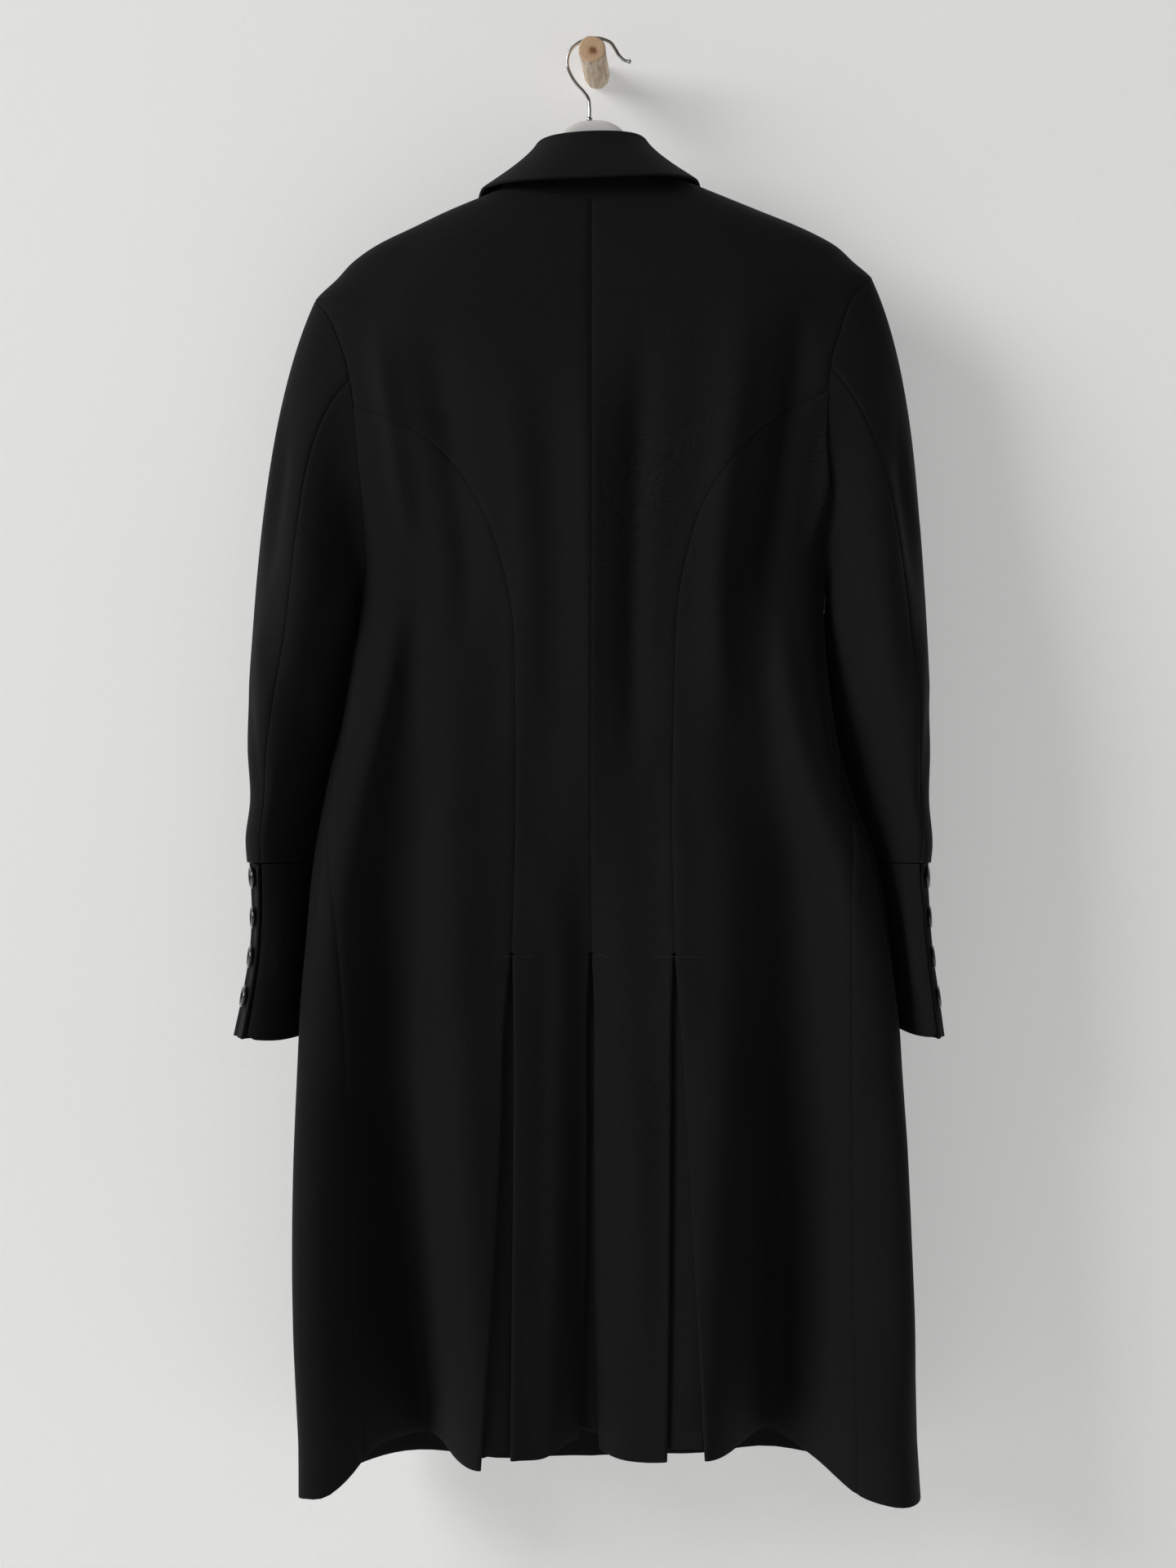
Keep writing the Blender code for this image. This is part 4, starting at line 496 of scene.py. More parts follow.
def hem_drop(angle):
    """The drop of the hem at an angle"""
    return read(HEM, "drop", (np.asarray(angle) + 180) % 360 - 180)


# Soft creases of the body: where each runs, as angles and drops, its half width and its height
CREASES = table("angle drop end_angle end_drop width height",
                (-1.0, 0.20, -0.5, 0.82, 0.019, 0.0058),
                (-46.0, 0.23, -50.0, 0.45, 0.019, 0.0050),
                (-33.0, 0.21, -30.0, 0.56, 0.021, -0.0048),
                (-16.0, 0.24, -14.0, 0.66, 0.019, 0.0030),
                (9.5, 0.22, 9.0, 0.66, 0.013, -0.0046),
                (29.0, 0.20, 30.0, 0.62, 0.018, 0.0050),
                (43.0, 0.21, 46.0, 0.50, 0.018, -0.0056),
                (62.0, 0.25, 64.0, 0.45, 0.016, 0.0040),
                (-52.0, 0.46, -60.0, 0.80, 0.020, 0.0040),
                (-74.0, 0.52, -66.0, 0.84, 0.018, -0.0036),
                (-36.0, 0.58, -38.0, 0.90, 0.018, -0.0030),
                (17.0, 0.60, 15.0, 0.92, 0.014, 0.0026),
                (50.0, 0.46, 58.0, 0.82, 0.020, 0.0040),
                (71.0, 0.54, 74.0, 0.86, 0.016, -0.0034),
                (-8.0, 0.72, -9.0, 1.16, 0.012, -0.0022),
                (7.5, 0.84, 8.5, 1.19, 0.011, 0.0020),
                (-62.0, 0.86, -57.0, 1.22, 0.020, 0.0034),
                (-47.0, 0.82, -46.0, 1.16, 0.015, -0.0026),
                (45.0, 0.88, 41.0, 1.20, 0.016, -0.0030),
                (64.0, 0.84, 60.0, 1.20, 0.018, 0.0032),
                (130.0, 0.24, 126.0, 0.55, 0.020, 0.0040),
                (150.0, 0.26, 153.0, 0.60, 0.018, -0.0034),
                (-128.0, 0.25, -124.0, 0.52, 0.020, 0.0038),
                (-149.0, 0.27, -152.0, 0.62, 0.019, -0.0032),
                (112.0, 0.52, 121.0, 0.90, 0.022, 0.0038),
                (-113.0, 0.54, -120.0, 0.92, 0.022, 0.0036),
                (143.0, 0.70, 139.0, 1.12, 0.020, -0.0030),
                (-140.0, 0.76, -143.0, 1.16, 0.018, 0.0032),
                (165.0, 0.62, 168.0, 1.05, 0.020, 0.0026),
                (92.0, 0.430, 94.0, 0.530, 0.022, 0.0009),
                (-92.0, 0.425, -94.0, 0.530, 0.022, 0.0020),
                (-164.0, 0.66, -167.0, 1.08, 0.018, 0.0028))
DEGREE = 0.0040
CREASE_DEPTH = 1.9
CREASE_FADE = 0.32


def crease_heights(sizes, first, second, scale):
    """Sums the soft creases of a table at angles round and drops down a form"""
    names = [name for name in sizes if name != "key"]
    total = np.zeros(np.broadcast(first, second).shape)
    for start, start_down, end, end_down, width, height in zip(*(sizes[name] for name in names)):
        across, down = ((first - start + 180) % 360 - 180) * scale, second - start_down
        run = np.array([(end - start) * scale, end_down - start_down])
        share = (across * run[0] + down * run[1]) / (run @ run)
        away = np.hypot(across - share * run[0], down - share * run[1])
        fade = ease(share / CREASE_FADE) * ease((1 - share) / CREASE_FADE)
        total = total + height * bell(away, width) * fade
    return total


# Soft creases of the sleeves and cuffs: turns as in the sleeve's ring
SLEEVE_CREASES = table("turn drop end_turn end_drop width height",
                       (58.0, 0.33, 44.0, 0.49, 0.015, -0.0030),
                       (96.0, 0.40, 84.0, 0.58, 0.017, 0.0028),
                       (26.0, 0.30, 30.0, 0.46, 0.016, 0.0026),
                       (36.0, 0.49, 62.0, 0.60, 0.014, 0.0026),
                       (15.0, 0.55, 52.0, 0.66, 0.014, -0.0024),
                       (112.0, 0.55, 104.0, 0.69, 0.016, -0.0026),
                       (70.0, 0.62, 58.0, 0.70, 0.012, 0.0018),
                       (-58.0, 0.30, -72.0, 0.46, 0.018, 0.0030),
                       (-104.0, 0.42, -88.0, 0.57, 0.018, -0.0026),
                       (-36.0, 0.47, -66.0, 0.61, 0.016, -0.0028),
                       (-46.0, 0.53, -84.0, 0.66, 0.015, 0.0026),
                       (-112.0, 0.58, -98.0, 0.69, 0.015, 0.0022),
                       (180.0, 0.440, 180.0, 0.550, 0.030, 0.0011),
                       (98.0, 0.715, 92.0, 0.83, 0.012, 0.0022),
                       (118.0, 0.72, 116.0, 0.85, 0.011, -0.0018),
                       (-52.0, 0.72, -60.0, 0.83, 0.014, -0.0020),
                       (-98.0, 0.73, -92.0, 0.85, 0.014, 0.0020))
SLEEVE_DEGREE = 0.0010
SLEEVE_CREASE_SHIFT = {"left": (0.0, 0.0), "right": (-7.0, 0.004)}
CREASE_ROWS = 14


def sleeve_sizes(side, drop):
    """The middle and half size of a sleeve's ring, across it and then from its front to its back"""
    sizes = SLEEVE[side]
    inner, outer = read(sizes, "inner", drop), read(sizes, "outer", drop)
    back, front = read(sizes, "back", drop), read(sizes, "front", drop)
    return (inner + outer) / 2, (outer - inner) / 2, (back + front) / 2, (back - front) / 2


def sleeve_creases(side, points):
    """How far the soft creases stand out of a sleeve or cuff"""
    drop = -points[..., 2]
    x, half_across, y, half_deep = sleeve_sizes(side, drop)
    lean = np.radians(read(SLEEVE_LEAN, "turn", drop))
    across = (points[..., 0] * sign_of(side) - x) / half_across
    along = (points[..., 1] - y) / half_deep
    turn = np.degrees(np.arctan2((along - across * np.sin(lean)) / np.cos(lean), across))
    shift, lower = SLEEVE_CREASE_SHIFT[side]
    return crease_heights(SLEEVE_CREASES, turn - shift, drop - lower, SLEEVE_DEGREE)


def body_creases(angle, drop):
    """How far the soft creases stand out of the body"""
    return CREASE_DEPTH * crease_heights(CREASES, angle, drop, DEGREE)


# The lines on the body where its pieces meet, each as angles and drops

def armhole_stops():
    """Places down the back armhole: to the elbow seam, to the princess seam and to the armpit"""
    keys = stretch(ARMHOLE["left"], ("x", "drop"))["key"]
    elbow = keys[2] + ELBOW_SHARE * (keys[3] - keys[2])
    return finer(np.concatenate([elbow * np.linspace(0, 1, ARM_TOP_STEPS + 1) ** ARM_CROWD, [keys[3]],
                                 np.linspace(keys[3], 1, ARM_BACK_STEPS + 1)[1:]]))


def armhole(side, stops, front=False):
    """Angles and drops down the armhole, from the shoulder point to the armpit"""
    path = stretch(ARMHOLE[side], ("x", "drop"))
    path["key"] = stretch(ARMHOLE["left"], ("x", "drop"))["key"]
    drop = read(path, "drop", stops)
    out = read(path, "x", stops) - (read(path, "scoop", stops) if front else 0)
    angle = angle_at(sign_of(side) * out, drop, front)
    ends = (np.asarray(stops) < 0.0001) | (np.asarray(stops) > 0.9999)
    return np.where(ends, sign_of(side) * 90, angle), drop


def shoulder(side, stops):
    """The shoulder seam, from the neck point to the shoulder point"""
    end = ARMHOLE[side]["drop"][0]
    drop = NECK_POINT[side] + (end - NECK_POINT[side]) * np.asarray(stops, float)
    return np.full(drop.shape, sign_of(side) * 90), drop


def back_neck(side, stops):
    """The back neckline, from the centre back to the neck point"""
    stops = np.asarray(stops, float)
    drop = NECK_BACK + (NECK_POINT[side] - NECK_BACK) * np.sin(np.radians(90 * stops)) ** 2
    return sign_of(side) * 90 * stops, drop


def front_neck_stops():
    """Places along the front neckline, with one where the other front's lap ends"""
    return np.append(LAP_STOP * np.linspace(0, 1, FRONT_NECK_STEPS + 1) ** NECK_CROWD,
                     np.linspace(LAP_STOP, 1, LAP_STEPS + 1)[1:])


def front_neck(side, stops):
    """The front neckline, from the neck point to the centre front"""
    stops = np.asarray(stops, float)
    turn = np.radians(90 * stops)
    neck = NECK_POINT[side]
    drop = neck + (NECK_FRONT - neck) * np.sin(turn)
    reach = half_width(sign_of(side), neck) * np.cos(turn)
    angle = angle_at(MIDDLE + sign_of(side) * reach, drop, front=True)
    angle = np.where(stops < 0.0001, sign_of(side) * 90, angle)
    return np.where(stops > 0.9999, sign_of(side) * 180, angle), drop


def princess(side, stops):
    """The curved seam from the armhole to the top of the pleats"""
    path = stretch(PRINCESS[side], ("x", "drop"))
    drop = read(path, "drop", stops)
    return angle_at(read(path, "x", stops), drop), drop


def side_seam(side, drop):
    """Angles and drops down the side seam"""
    return sign_of(side) * read(SIDE_SEAM, side, drop), drop


# Walls of cloth

SHARPEST_CORNER = 0.62
EVERY = slice(None)
BORDERS = {"top": ((0, EVERY), (1, EVERY)), "bottom": ((-1, EVERY), (-2, EVERY)),
           "left": ((EVERY, 0), (EVERY, 1)), "right": ((EVERY, -1), (EVERY, -2))}


def patch(top, bottom, left, right, fade=1):
    """Angles and drops inside four border lines that share their corners; the top's own shape
    fades out down the patch, the faster the higher its fade"""
    top, bottom, left, right = (np.stack(line, axis=-1) for line in (top, bottom, left, right))
    across = np.concatenate([[0], np.cumsum(np.linalg.norm(np.diff(bottom, axis=0), axis=1))])
    across = (across / across[-1])[:, None]
    down = (left[:, 1] - left[0, 1]) / (left[-1, 1] - left[0, 1])
    down = down[:, None, None]
    grid = (1 - across) * left[:, None] + across * right[:, None]
    grid = grid + (1 - down) ** fade * (top - (1 - across) * top[0] - across * top[-1])
    grid = grid + down * (bottom - (1 - across) * bottom[0] - across * bottom[-1])
    return grid[..., 0], grid[..., 1]


def line_steps(points):
    """The direction of a line of points at each point"""
    return unit(np.gradient(points, axis=0))


def set_back(points, normals, borders):
    """How far the points on some borders of a grid move inwards along the surface"""
    moved = np.zeros_like(points)
    for border, amount in borders.items():
        here, next_in = BORDERS[border]
        edge = points[here]
        inward = unit(np.cross(normals[here], line_steps(edge)))
        facing = np.sign(np.sum(inward * (points[next_in] - edge), axis=-1, keepdims=True))
        amounts = np.broadcast_to(np.asarray(amount, float), (len(edge),))[:, None]
        moved[here] += inward * facing * amounts
    return moved


def seam_normals(first, second):
    """A shared direction, and its length, for the edges of two surfaces that meet at a corner"""
    middle = unit(first + second)
    lean = np.clip(np.sum(middle * first, axis=-1, keepdims=True), SHARPEST_CORNER, 1.0)
    return middle / lean


def body_panel(angles, drops, borders, shared, lift=0):
    """Outer and inner points of a panel of the body, set back at its sewn borders"""
    normals = body_normal(angles, drops)
    outer = body_point(angles, drops)
    outer = outer + normals * (body_creases(angles, drops) + lift)[..., None]
    outer = outer + set_back(outer, normals, borders)
    depth = normals.copy()
    for place, direction in shared.items():
        depth[place] = direction
    return outer, outer - depth * CLOTH, normals


def add_return(outer, inner, normals, first_row, edge, openings):
    """Turns a pleat's edge back behind the panel: round the fold, then along the panel's columns"""
    flip = -1 if edge == "right" else 1
    columns = (np.arange(0, 2 * RETURN_COLUMNS + 1) * flip) - (1 if edge == "right" else 0)
    start, normal = outer[:, columns[0]], normals[:, columns[0]]
    ahead = start - outer[:, columns[2]]
    ahead = unit(ahead - normal * np.sum(ahead * normal, axis=-1, keepdims=True))
    middle = start - normal * (CLOTH / 2 + FOLD_RADIUS)
    outer_extra, inner_extra = [], []
    for turn in np.radians(FOLD_TURNS):
        out = normal * math.cos(turn) + ahead * math.sin(turn)
        outer_extra.append(middle + out * (FOLD_RADIUS + CLOTH / 2))
        inner_extra.append(middle + out * (FOLD_RADIUS - CLOTH / 2))
    behind = [outer_extra[-1] + ahead * UNDERLAY_OUT - normal * (PLEAT_GAP + CLOTH / 2)]
    facings = [normal]
    gone = np.zeros(len(outer))
    for before, column in zip(columns[:-1:2], columns[2::2]):
        gone = gone + np.linalg.norm(outer[:, column] - outer[:, before], axis=-1)
        facing = normals[:, column]
        depth = CLOTH / 2 + 2 * FOLD_RADIUS + openings * gone
        centre = outer[:, column] - facing * depth[:, None]
        outer_extra.append(centre - facing * CLOTH / 2)
        inner_extra.append(centre + facing * CLOTH / 2)
        behind.append(outer_extra[-1] - facing * (PLEAT_GAP + CLOTH / 2))
        facings.append(facing)
    outer_extra, inner_extra = np.stack(outer_extra, axis=1), np.stack(inner_extra, axis=1)
    if edge == "right":
        outer = np.concatenate([outer, outer_extra], axis=1)
        inner = np.concatenate([inner, inner_extra], axis=1)
    else:
        outer = np.concatenate([outer_extra[:, ::-1], outer], axis=1)
        inner = np.concatenate([inner_extra[:, ::-1], inner], axis=1)
    added = np.zeros((len(outer) - 1, outer_extra.shape[1]), bool)
    added[first_row:] = True
    behind = np.stack([np.stack(behind, axis=1), np.stack(facings, axis=1)])
    return outer, inner, added, behind[:, first_row:]


def pleat_edge_angle(pleat, which, drop):
    """The angle of a pleat's folded edge, short of the fold's own roundness"""
    lean = 1 if which == "first" else -1
    x = read(PLEATS[pleat], which, drop) - lean * (FOLD_RADIUS + CLOTH / 2 + HALF_GAP)
    return angle_at(x, drop)


def skirt(left_angles, right_angles, columns_at_top):
    """Angles and drops of a skirt panel between two edges that are known at every drop"""
    shares = np.linspace(0, 1, SKIRT_STEPS + 1)
    spread = (columns_at_top - columns_at_top[0]) / (columns_at_top[-1] - columns_at_top[0])
    angles = np.zeros((len(shares), len(spread)))
    drops = np.zeros_like(angles)
    for row, share in enumerate(shares):
        level = np.full(len(spread), PLEAT_TOP + (MEAN_HEM - PLEAT_TOP) * share)
        for _ in range(HEM_ROUNDS):
            edges = left_angles(level[0]), right_angles(level[-1])
            across = edges[0] + (edges[1] - edges[0]) * spread
            level = PLEAT_TOP + (hem_drop(across) - PLEAT_TOP) * share
        angles[row], drops[row] = across, level
    return angles, drops


def armpit_level(side):
    """The drop of the armpit"""
    return ARMHOLE[side]["drop"][-1]


def upper_side_drops(side):
    """Drops down the side seam above the pleats"""
    stops = np.interp(princess_stops(), PRINCESS_STOPS, SIDE_STOPS)
    return armpit_level(side) + (PLEAT_TOP - armpit_level(side)) * stops


def front_angles(side, angles):
    """Carries a left angle on past the centre front, so that a front's angles run one way"""
    angles = np.asarray(angles)
    return np.where(angles < 0, angles + 360, angles) if side == "left" else angles


def lap_angle(drop):
    """The angle that the front's lap covers past the centre front"""
    reach = FRONT_LAP / (half_width(1.0, drop) * (1 + SQUARE_ACROSS))
    return np.degrees(np.arcsin(reach))


def under_lap(angles):
    """How far the left front lies under the right one, near the centre front"""
    return -ease((LAP_STARTS - angles) / LAP_EASES) * LAP_DEPTH


def front_row(side, start, drop):
    """Angles along a front from a start to its edge, with columns at both sides of the centre"""
    lap = sign_of(side) * float(lap_angle(drop))
    main = start + (180 - lap - start) * np.linspace(0, 1, FRONT_NECK_STEPS + 1) ** FRONT_CROWD
    return np.concatenate([main, 180 + lap * np.linspace(-1, 1, 2 * LAP_STEPS + 1)[1:]])


def front_skirt(side, top_angles):
    """Angles and drops of a front below the armpit"""
    sign = sign_of(side)
    pit = armpit_level(side)
    upper = upper_side_drops(side)
    hem = FRONT_HEM
    for _ in range(HEM_ROUNDS):
        hem = float(hem_drop(sign * float(read(SIDE_SEAM, side, hem))))
    lower = PLEAT_TOP + (hem - PLEAT_TOP) * np.linspace(0, 1, SKIRT_STEPS + 1)[1:]
    seam_drops = np.concatenate([upper, lower])
    shares = (seam_drops - pit) / (hem - pit)
    angles = np.zeros((len(shares), len(top_angles)))
    drops = np.zeros_like(angles)
    for row, share in enumerate(shares):
        first = sign * float(read(SIDE_SEAM, side, seam_drops[row]))
        first = first + 360 if side == "left" else first
        across = front_row(side, first, pit + (FRONT_HEM - pit) * share)
        level = pit + (hem_drop(across) - pit) * share
        level[0] = seam_drops[row]
        angles[row], drops[row] = across, level
    return angles, drops


def front_arm_stops():
    """Places down the front armhole, from the shoulder to the sleeve's front seam and the armpit"""
    high = FRONT_SEAM_STOP * np.linspace(0, 1, ARM_FRONT_HIGH_STEPS + 1) ** ARM_CROWD
    return finer(np.append(high, np.linspace(FRONT_SEAM_STOP, 1, ARM_FRONT_LOW_STEPS + 1)[1:]))


# The sleeves

def sleeve_ring(side, turn, drop, inset=0.0):
    """A sleeve's cross section: turn 0 on its outer side, 180 inside, with its back leaning out"""
    x, half_across, y, half_deep = sleeve_sizes(side, drop)
    lean = np.radians(read(SLEEVE_LEAN, "turn", drop))
    turn = np.radians(turn)
    x = x + (half_across - inset) * np.cos(turn)
    y = y + (half_deep + inset) * np.sin(turn + lean)
    x, y, drop = np.broadcast_arrays(sign_of(side) * x, y, np.asarray(drop, float))
    return np.stack([x, y, -drop], axis=-1)


def sleeve_turn(side, share, reach):
    """The ring angle at a share of the way round: 0 and 1 at the seams, for upper and under sleeve"""
    elbow = read(ELBOW_SEAM[side], "turn", reach)
    front = FRONT_SEAM_TURN + 0 * reach
    upper = front + (elbow - front) * share
    under = elbow + (front + 360 - elbow) * (share - 1)
    return np.where(share <= 1, upper, under)


def sleeve_surface(side, roots, shares, reaches):
    """A sleeve's outer face: roots on the armhole, shares round it and reaches down it"""
    grid = np.zeros((len(reaches), len(shares), 3))
    slope = np.radians(read(LEAVE_SLOPE, "slope",
                            (sleeve_turn(side, shares, 0.0) + 180) % 360 - 180))
    leave = np.stack([sign_of(side) * np.cos(slope), 0 * slope, -np.sin(slope)], axis=-1)
    span = CUFF_TOP - SLEEVE_RING

    def lower(reach):
        drop = SLEEVE_RING + span * (reach - ARMHOLE_SHARE) / (1 - ARMHOLE_SHARE)
        return sleeve_ring(side, sleeve_turn(side, shares, reach), drop)

    joint = lower(ARMHOLE_SHARE)
    arrive = unit(lower(ARMHOLE_SHARE + 0.02) - joint)
    length = np.linalg.norm(joint - roots, axis=-1, keepdims=True)
    for row, reach in enumerate(reaches):
        if reach >= ARMHOLE_SHARE:
            grid[row] = lower(reach)
            continue
        grid[row] = glide(reach / ARMHOLE_SHARE, roots, SLEEVE_PULL * length * leave,
                          joint, length * arrive)
    return grid


def grid_normals(grid, outward):
    """Directions out of a grid of points, on the side that faces a given way"""
    across = np.gradient(grid, axis=1)
    down = np.gradient(grid, axis=0)
    normals = unit(np.cross(down, across))
    return normals * np.sign(np.sum(normals * outward))


def armhole_line(side):
    """The whole armhole: angles, drops and shares round the sleeve, from its front seam on"""
    back, front = armhole_stops(), front_arm_stops()
    top, back_top = ARM_FRONT_HIGH_STEPS * FINE, ARM_TOP_STEPS * FINE
    back_line, front_line = armhole(side, back), armhole(side, front, front=True)
    high, low = slice(top, 0, -1), slice(None, top - 1, -1)
    upper = [np.concatenate([front_line[k][high], back_line[k][:back_top + 1]]) for k in (0, 1)]
    under = [np.concatenate([back_line[k][back_top:], front_line[k][low][1:]]) for k in (0, 1)]
    upper[0][top] = sign_of(side) * 90
    return upper, under


def sleeve_pieces(side):
    """Grids of the upper and the under sleeve, with their directions outwards"""
    reaches = np.concatenate([np.linspace(0, ARMHOLE_SHARE, SLEEVE_HEAD_STEPS + 1),
                              np.linspace(ARMHOLE_SHARE, 1, SLEEVE_LOW_STEPS + 1)[1:]])
    pieces = {}
    for name, line, base in zip(("upper", "under"), armhole_line(side), (0.0, 1.0)):
        roots = body_point(line[0], line[1])
        shares = base + np.linspace(0, 1, len(line[0]))
        grid = sleeve_surface(side, roots, shares, reaches)
        normals = sleeve_normals(side, grid)
        pieces[name] = (grid, normals, line)
    upper, under = pieces["upper"][1], pieces["under"][1]
    for first, second in ((-1, 0), (0, -1)):
        upper[:, first] = under[:, second] = unit(upper[:, first] + under[:, second])
    return pieces


def sleeve_normals(side, grid):
    """Directions out of a sleeve, away from the line through the middle of its rings"""
    drop = np.clip(-grid[..., 2], SLEEVE_RING, CUFF_TOP)
    x, _, y, _ = sleeve_sizes(side, drop)
    z = np.minimum(grid[..., 2], -SLEEVE_MIDDLE_TOP)
    return grid_normals(grid, grid - np.stack([sign_of(side) * x, y, z], axis=-1))


def arm_directions(side):
    """The edge direction that body and sleeve share at each point of the armhole"""
    shared = {}
    for name, (_, normals, line) in sleeve_pieces(side).items():
        body = body_normal(line[0], line[1])
        shared[name] = seam_normals(body, normals[0])
    upper, under = shared["upper"], shared["under"]
    for first, second in ((-1, 0), (0, -1)):
        join = unit(upper[first] + under[second]) * np.linalg.norm(upper[first])
        upper[first] = under[second] = join
    return shared


def shared_neck_and_arm(side, panel):
    """Edge directions where a panel of the body meets the sleeve or the collar's stand"""
    arm = arm_directions(side)
    neck_back, neck_front = neck_directions(side)
    high, low = ARM_FRONT_HIGH_STEPS * FINE, ARM_FRONT_LOW_STEPS * FINE
    turn = ARM_BACK_STEPS * FINE + FINE
    if panel == "side back":
        return {(0, step): arm["under"][turn - step] for step in range(ARM_BACK_STEPS * FINE + 1)}
    if panel == "back":
        downs, tops = [arm["upper"][high:], arm["under"][1:FINE + 1]], neck_back[::-1]
    else:
        downs, tops = [arm["upper"][:high + 1][::-1], arm["under"][::-1][1:low + 1]], neck_front
    shared = {(SHOULDER_STEPS + row, 0): way for row, way in enumerate(np.concatenate(downs))}
    shared.update({(0, step): way for step, way in enumerate(tops)})
    return shared


def cuff_turns():
    """Angles round a cuff: from its open edge past the back, inside and front to the button edge"""
    return np.linspace(CUFF_EDGE_TURN, 360 + CUFF_EDGE_TURN + CUFF_UNDERLAP, CUFF_STEPS + 1)


def cuff_point(side, turn, drop):
    """The outer face of a cuff, whose button edge dips under the open edge"""
    inset = CUFF_INSET * ease((turn - CUFF_DIP_STARTS) / CUFF_DIP_EASES)
    inset = inset + SLIT_DEPTH * ease((turn - SLIT_STARTS) / SLIT_EASES)
    point = sleeve_ring(side, turn, drop, inset)
    below = ease((drop - CUFF_TOP) / STRIP_EASES)
    point[..., 1] -= STRIP_BULGE * below * bell(turn - STRIP_TURN, STRIP_WIDTH)
    return point


def cuff_normal(side, turn, drop):
    """The direction out of a cuff"""
    across = cuff_point(side, turn + 1, drop) - cuff_point(side, turn - 1, drop)
    down = cuff_point(side, turn, drop + 0.002) - cuff_point(side, turn, drop - 0.002)
    return unit(np.cross(across, down)) * sign_of(side)


# The collar

def roll_line(turn):
    """The line over which the collar folds: turn 0 at the centre back, 180 at the centre front"""
    angle = np.radians(turn)
    x = ROLL_HALF_WIDTH * np.sin(angle)
    y = (ROLL_BACK + ROLL_FRONT) / 2 + (ROLL_BACK - ROLL_FRONT) / 2 * np.cos(angle)
    drop = ROLL_DROP + (ROLL_FRONT_DROP - ROLL_DROP) * ((1 - np.cos(angle)) / 2) ** ROLL_FALL
    return np.stack([MIDDLE + x, y, -drop + TILT * x], axis=-1)


def fall_edge(turn):
    """The outer edge of the collar's fall"""
    sign = np.where(np.asarray(turn) < 0, -1, 1)
    around = np.abs(turn)
    x = sign * read(FALL_EDGE, "out", around)
    return np.stack([FALL_MIDDLE + x, read(FALL_EDGE, "y", around),
                     -read(FALL_EDGE, "drop", around) + TILT * x], axis=-1)


def neck_turns():
    """Angles round the collar at each point of half the neckline"""
    front = 90 + (COLLAR_END - 90) * front_neck_stops()
    return np.concatenate([np.linspace(0, 90, BACK_NECK_STEPS + 1), front[1:]])


def neck_line(side):
    """Half of the neckline on the body's surface: points and directions out"""
    back = back_neck(side, np.linspace(0, 1, BACK_NECK_STEPS + 1))
    front = front_neck(side, front_neck_stops())
    angles = np.concatenate([back[0], front[0][1:]])
    drops = np.concatenate([back[1], front[1][1:]])
    normals = body_normal(angles, drops)
    points = body_point(angles, drops)
    if side == "left":
        lift = np.where(np.abs(angles) > 90, under_lap(front_angles(side, angles)), 0)
        points = points + normals * lift[:, None]
    return points, normals


def stand_half(side):
    """Half of the collar's stand, from the centre back to the centre front"""
    points, body = neck_line(side)
    tops = roll_line(sign_of(side) * neck_turns())
    rows = np.linspace(0, 1, STAND_STEPS + 1)[:, None, None]
    lean = unit(tops - points)
    around = line_steps(tops)
    bulge = unit(np.cross(around, lean)) * sign_of(side)
    grid = points + (tops - points) * rows + bulge * STAND_BULGE * np.sin(np.pi * rows)
    normals = grid_normals(grid, (grid - NECK_MIDDLE) * (1, 1, 0))
    return grid, normals, body


def neck_directions(side):
    """The edge directions that the body and the stand share, at the back and at the front"""
    _, normals, body = stand_half(side)
    shared = seam_normals(body, normals[0])
    return shared[:BACK_NECK_STEPS + 1], shared[BACK_NECK_STEPS:]


def fall_grids(turns):
    """The fall's two faces: up from the stand, over the roll and down to its edge"""
    line = roll_line(turns)
    ahead = roll_line(turns + 1) - roll_line(turns - 1)
    out = unit(np.stack([ahead[:, 1], -ahead[:, 0], 0 * turns], axis=-1))
    up = np.array([0, 0, 1.0])
    base = line - out * (CLOTH / 2) + up * (SEAM_GAP + FALL_LIFT)
    centre = base + out * ROLL_RADIUS
    middles = [centre + (-out * math.cos(turn) + up * math.sin(turn)) * ROLL_RADIUS
               for turn in np.radians(ROLL_TURNS)]
    edge = fall_edge(turns)
    start = middles[-1]
    last = math.radians(ROLL_TURNS[-1])
    leave = unit(out * math.sin(last) + up * math.cos(last))
    length = np.linalg.norm(edge - start, axis=-1, keepdims=True)
    arrive = unit(edge - start + out * FALL_OUT)
    pull = FALL_PULL * length
    for share in np.linspace(0, 1, FALL_STEPS + 1)[1:]:
        middles.append(glide(share, start, pull * leave, edge, pull * arrive)
                       + out * FALL_BULGE * math.sin(math.pi * share))
    grid = np.stack(middles)
    away = np.broadcast_to(out, grid.shape).copy()
    away[:UPRIGHT_ROWS] = -out + up
    normals = grid_normals(grid, away)
    normals[0] = -out
    return grid, normals


def hanger_place(out):
    """The middle of the hanger's section at a distance along one arm, right or left"""
    around = np.abs(out)
    free = read(HANGER, "drop", around) - TILT * out
    drops = np.linspace(BODY["drop"][0], ARMHOLE["right"]["drop"][0], 60)
    left, right = (np.interp(around, half_width(sign, drops), drops) for sign in (-1, 1))
    under = np.where(out < 0, left, right) + CLOTH * SLOPING_CLOTH + HANGER_GAP
    rest = ease((around - HANGER_REST[0]) / (HANGER_REST[1] - HANGER_REST[0]))
    top = free + (under - free) * rest
    slope = np.gradient(top, out)
    y = HANGER_DEPTH - HANGER_BEND * ease(around / HANGER_BEND_REACH)
    drop = top + read(HANGER, "high", around) * np.hypot(1, slope)
    return np.stack([MIDDLE + out, y, -drop], axis=-1)


# The cloth pieces

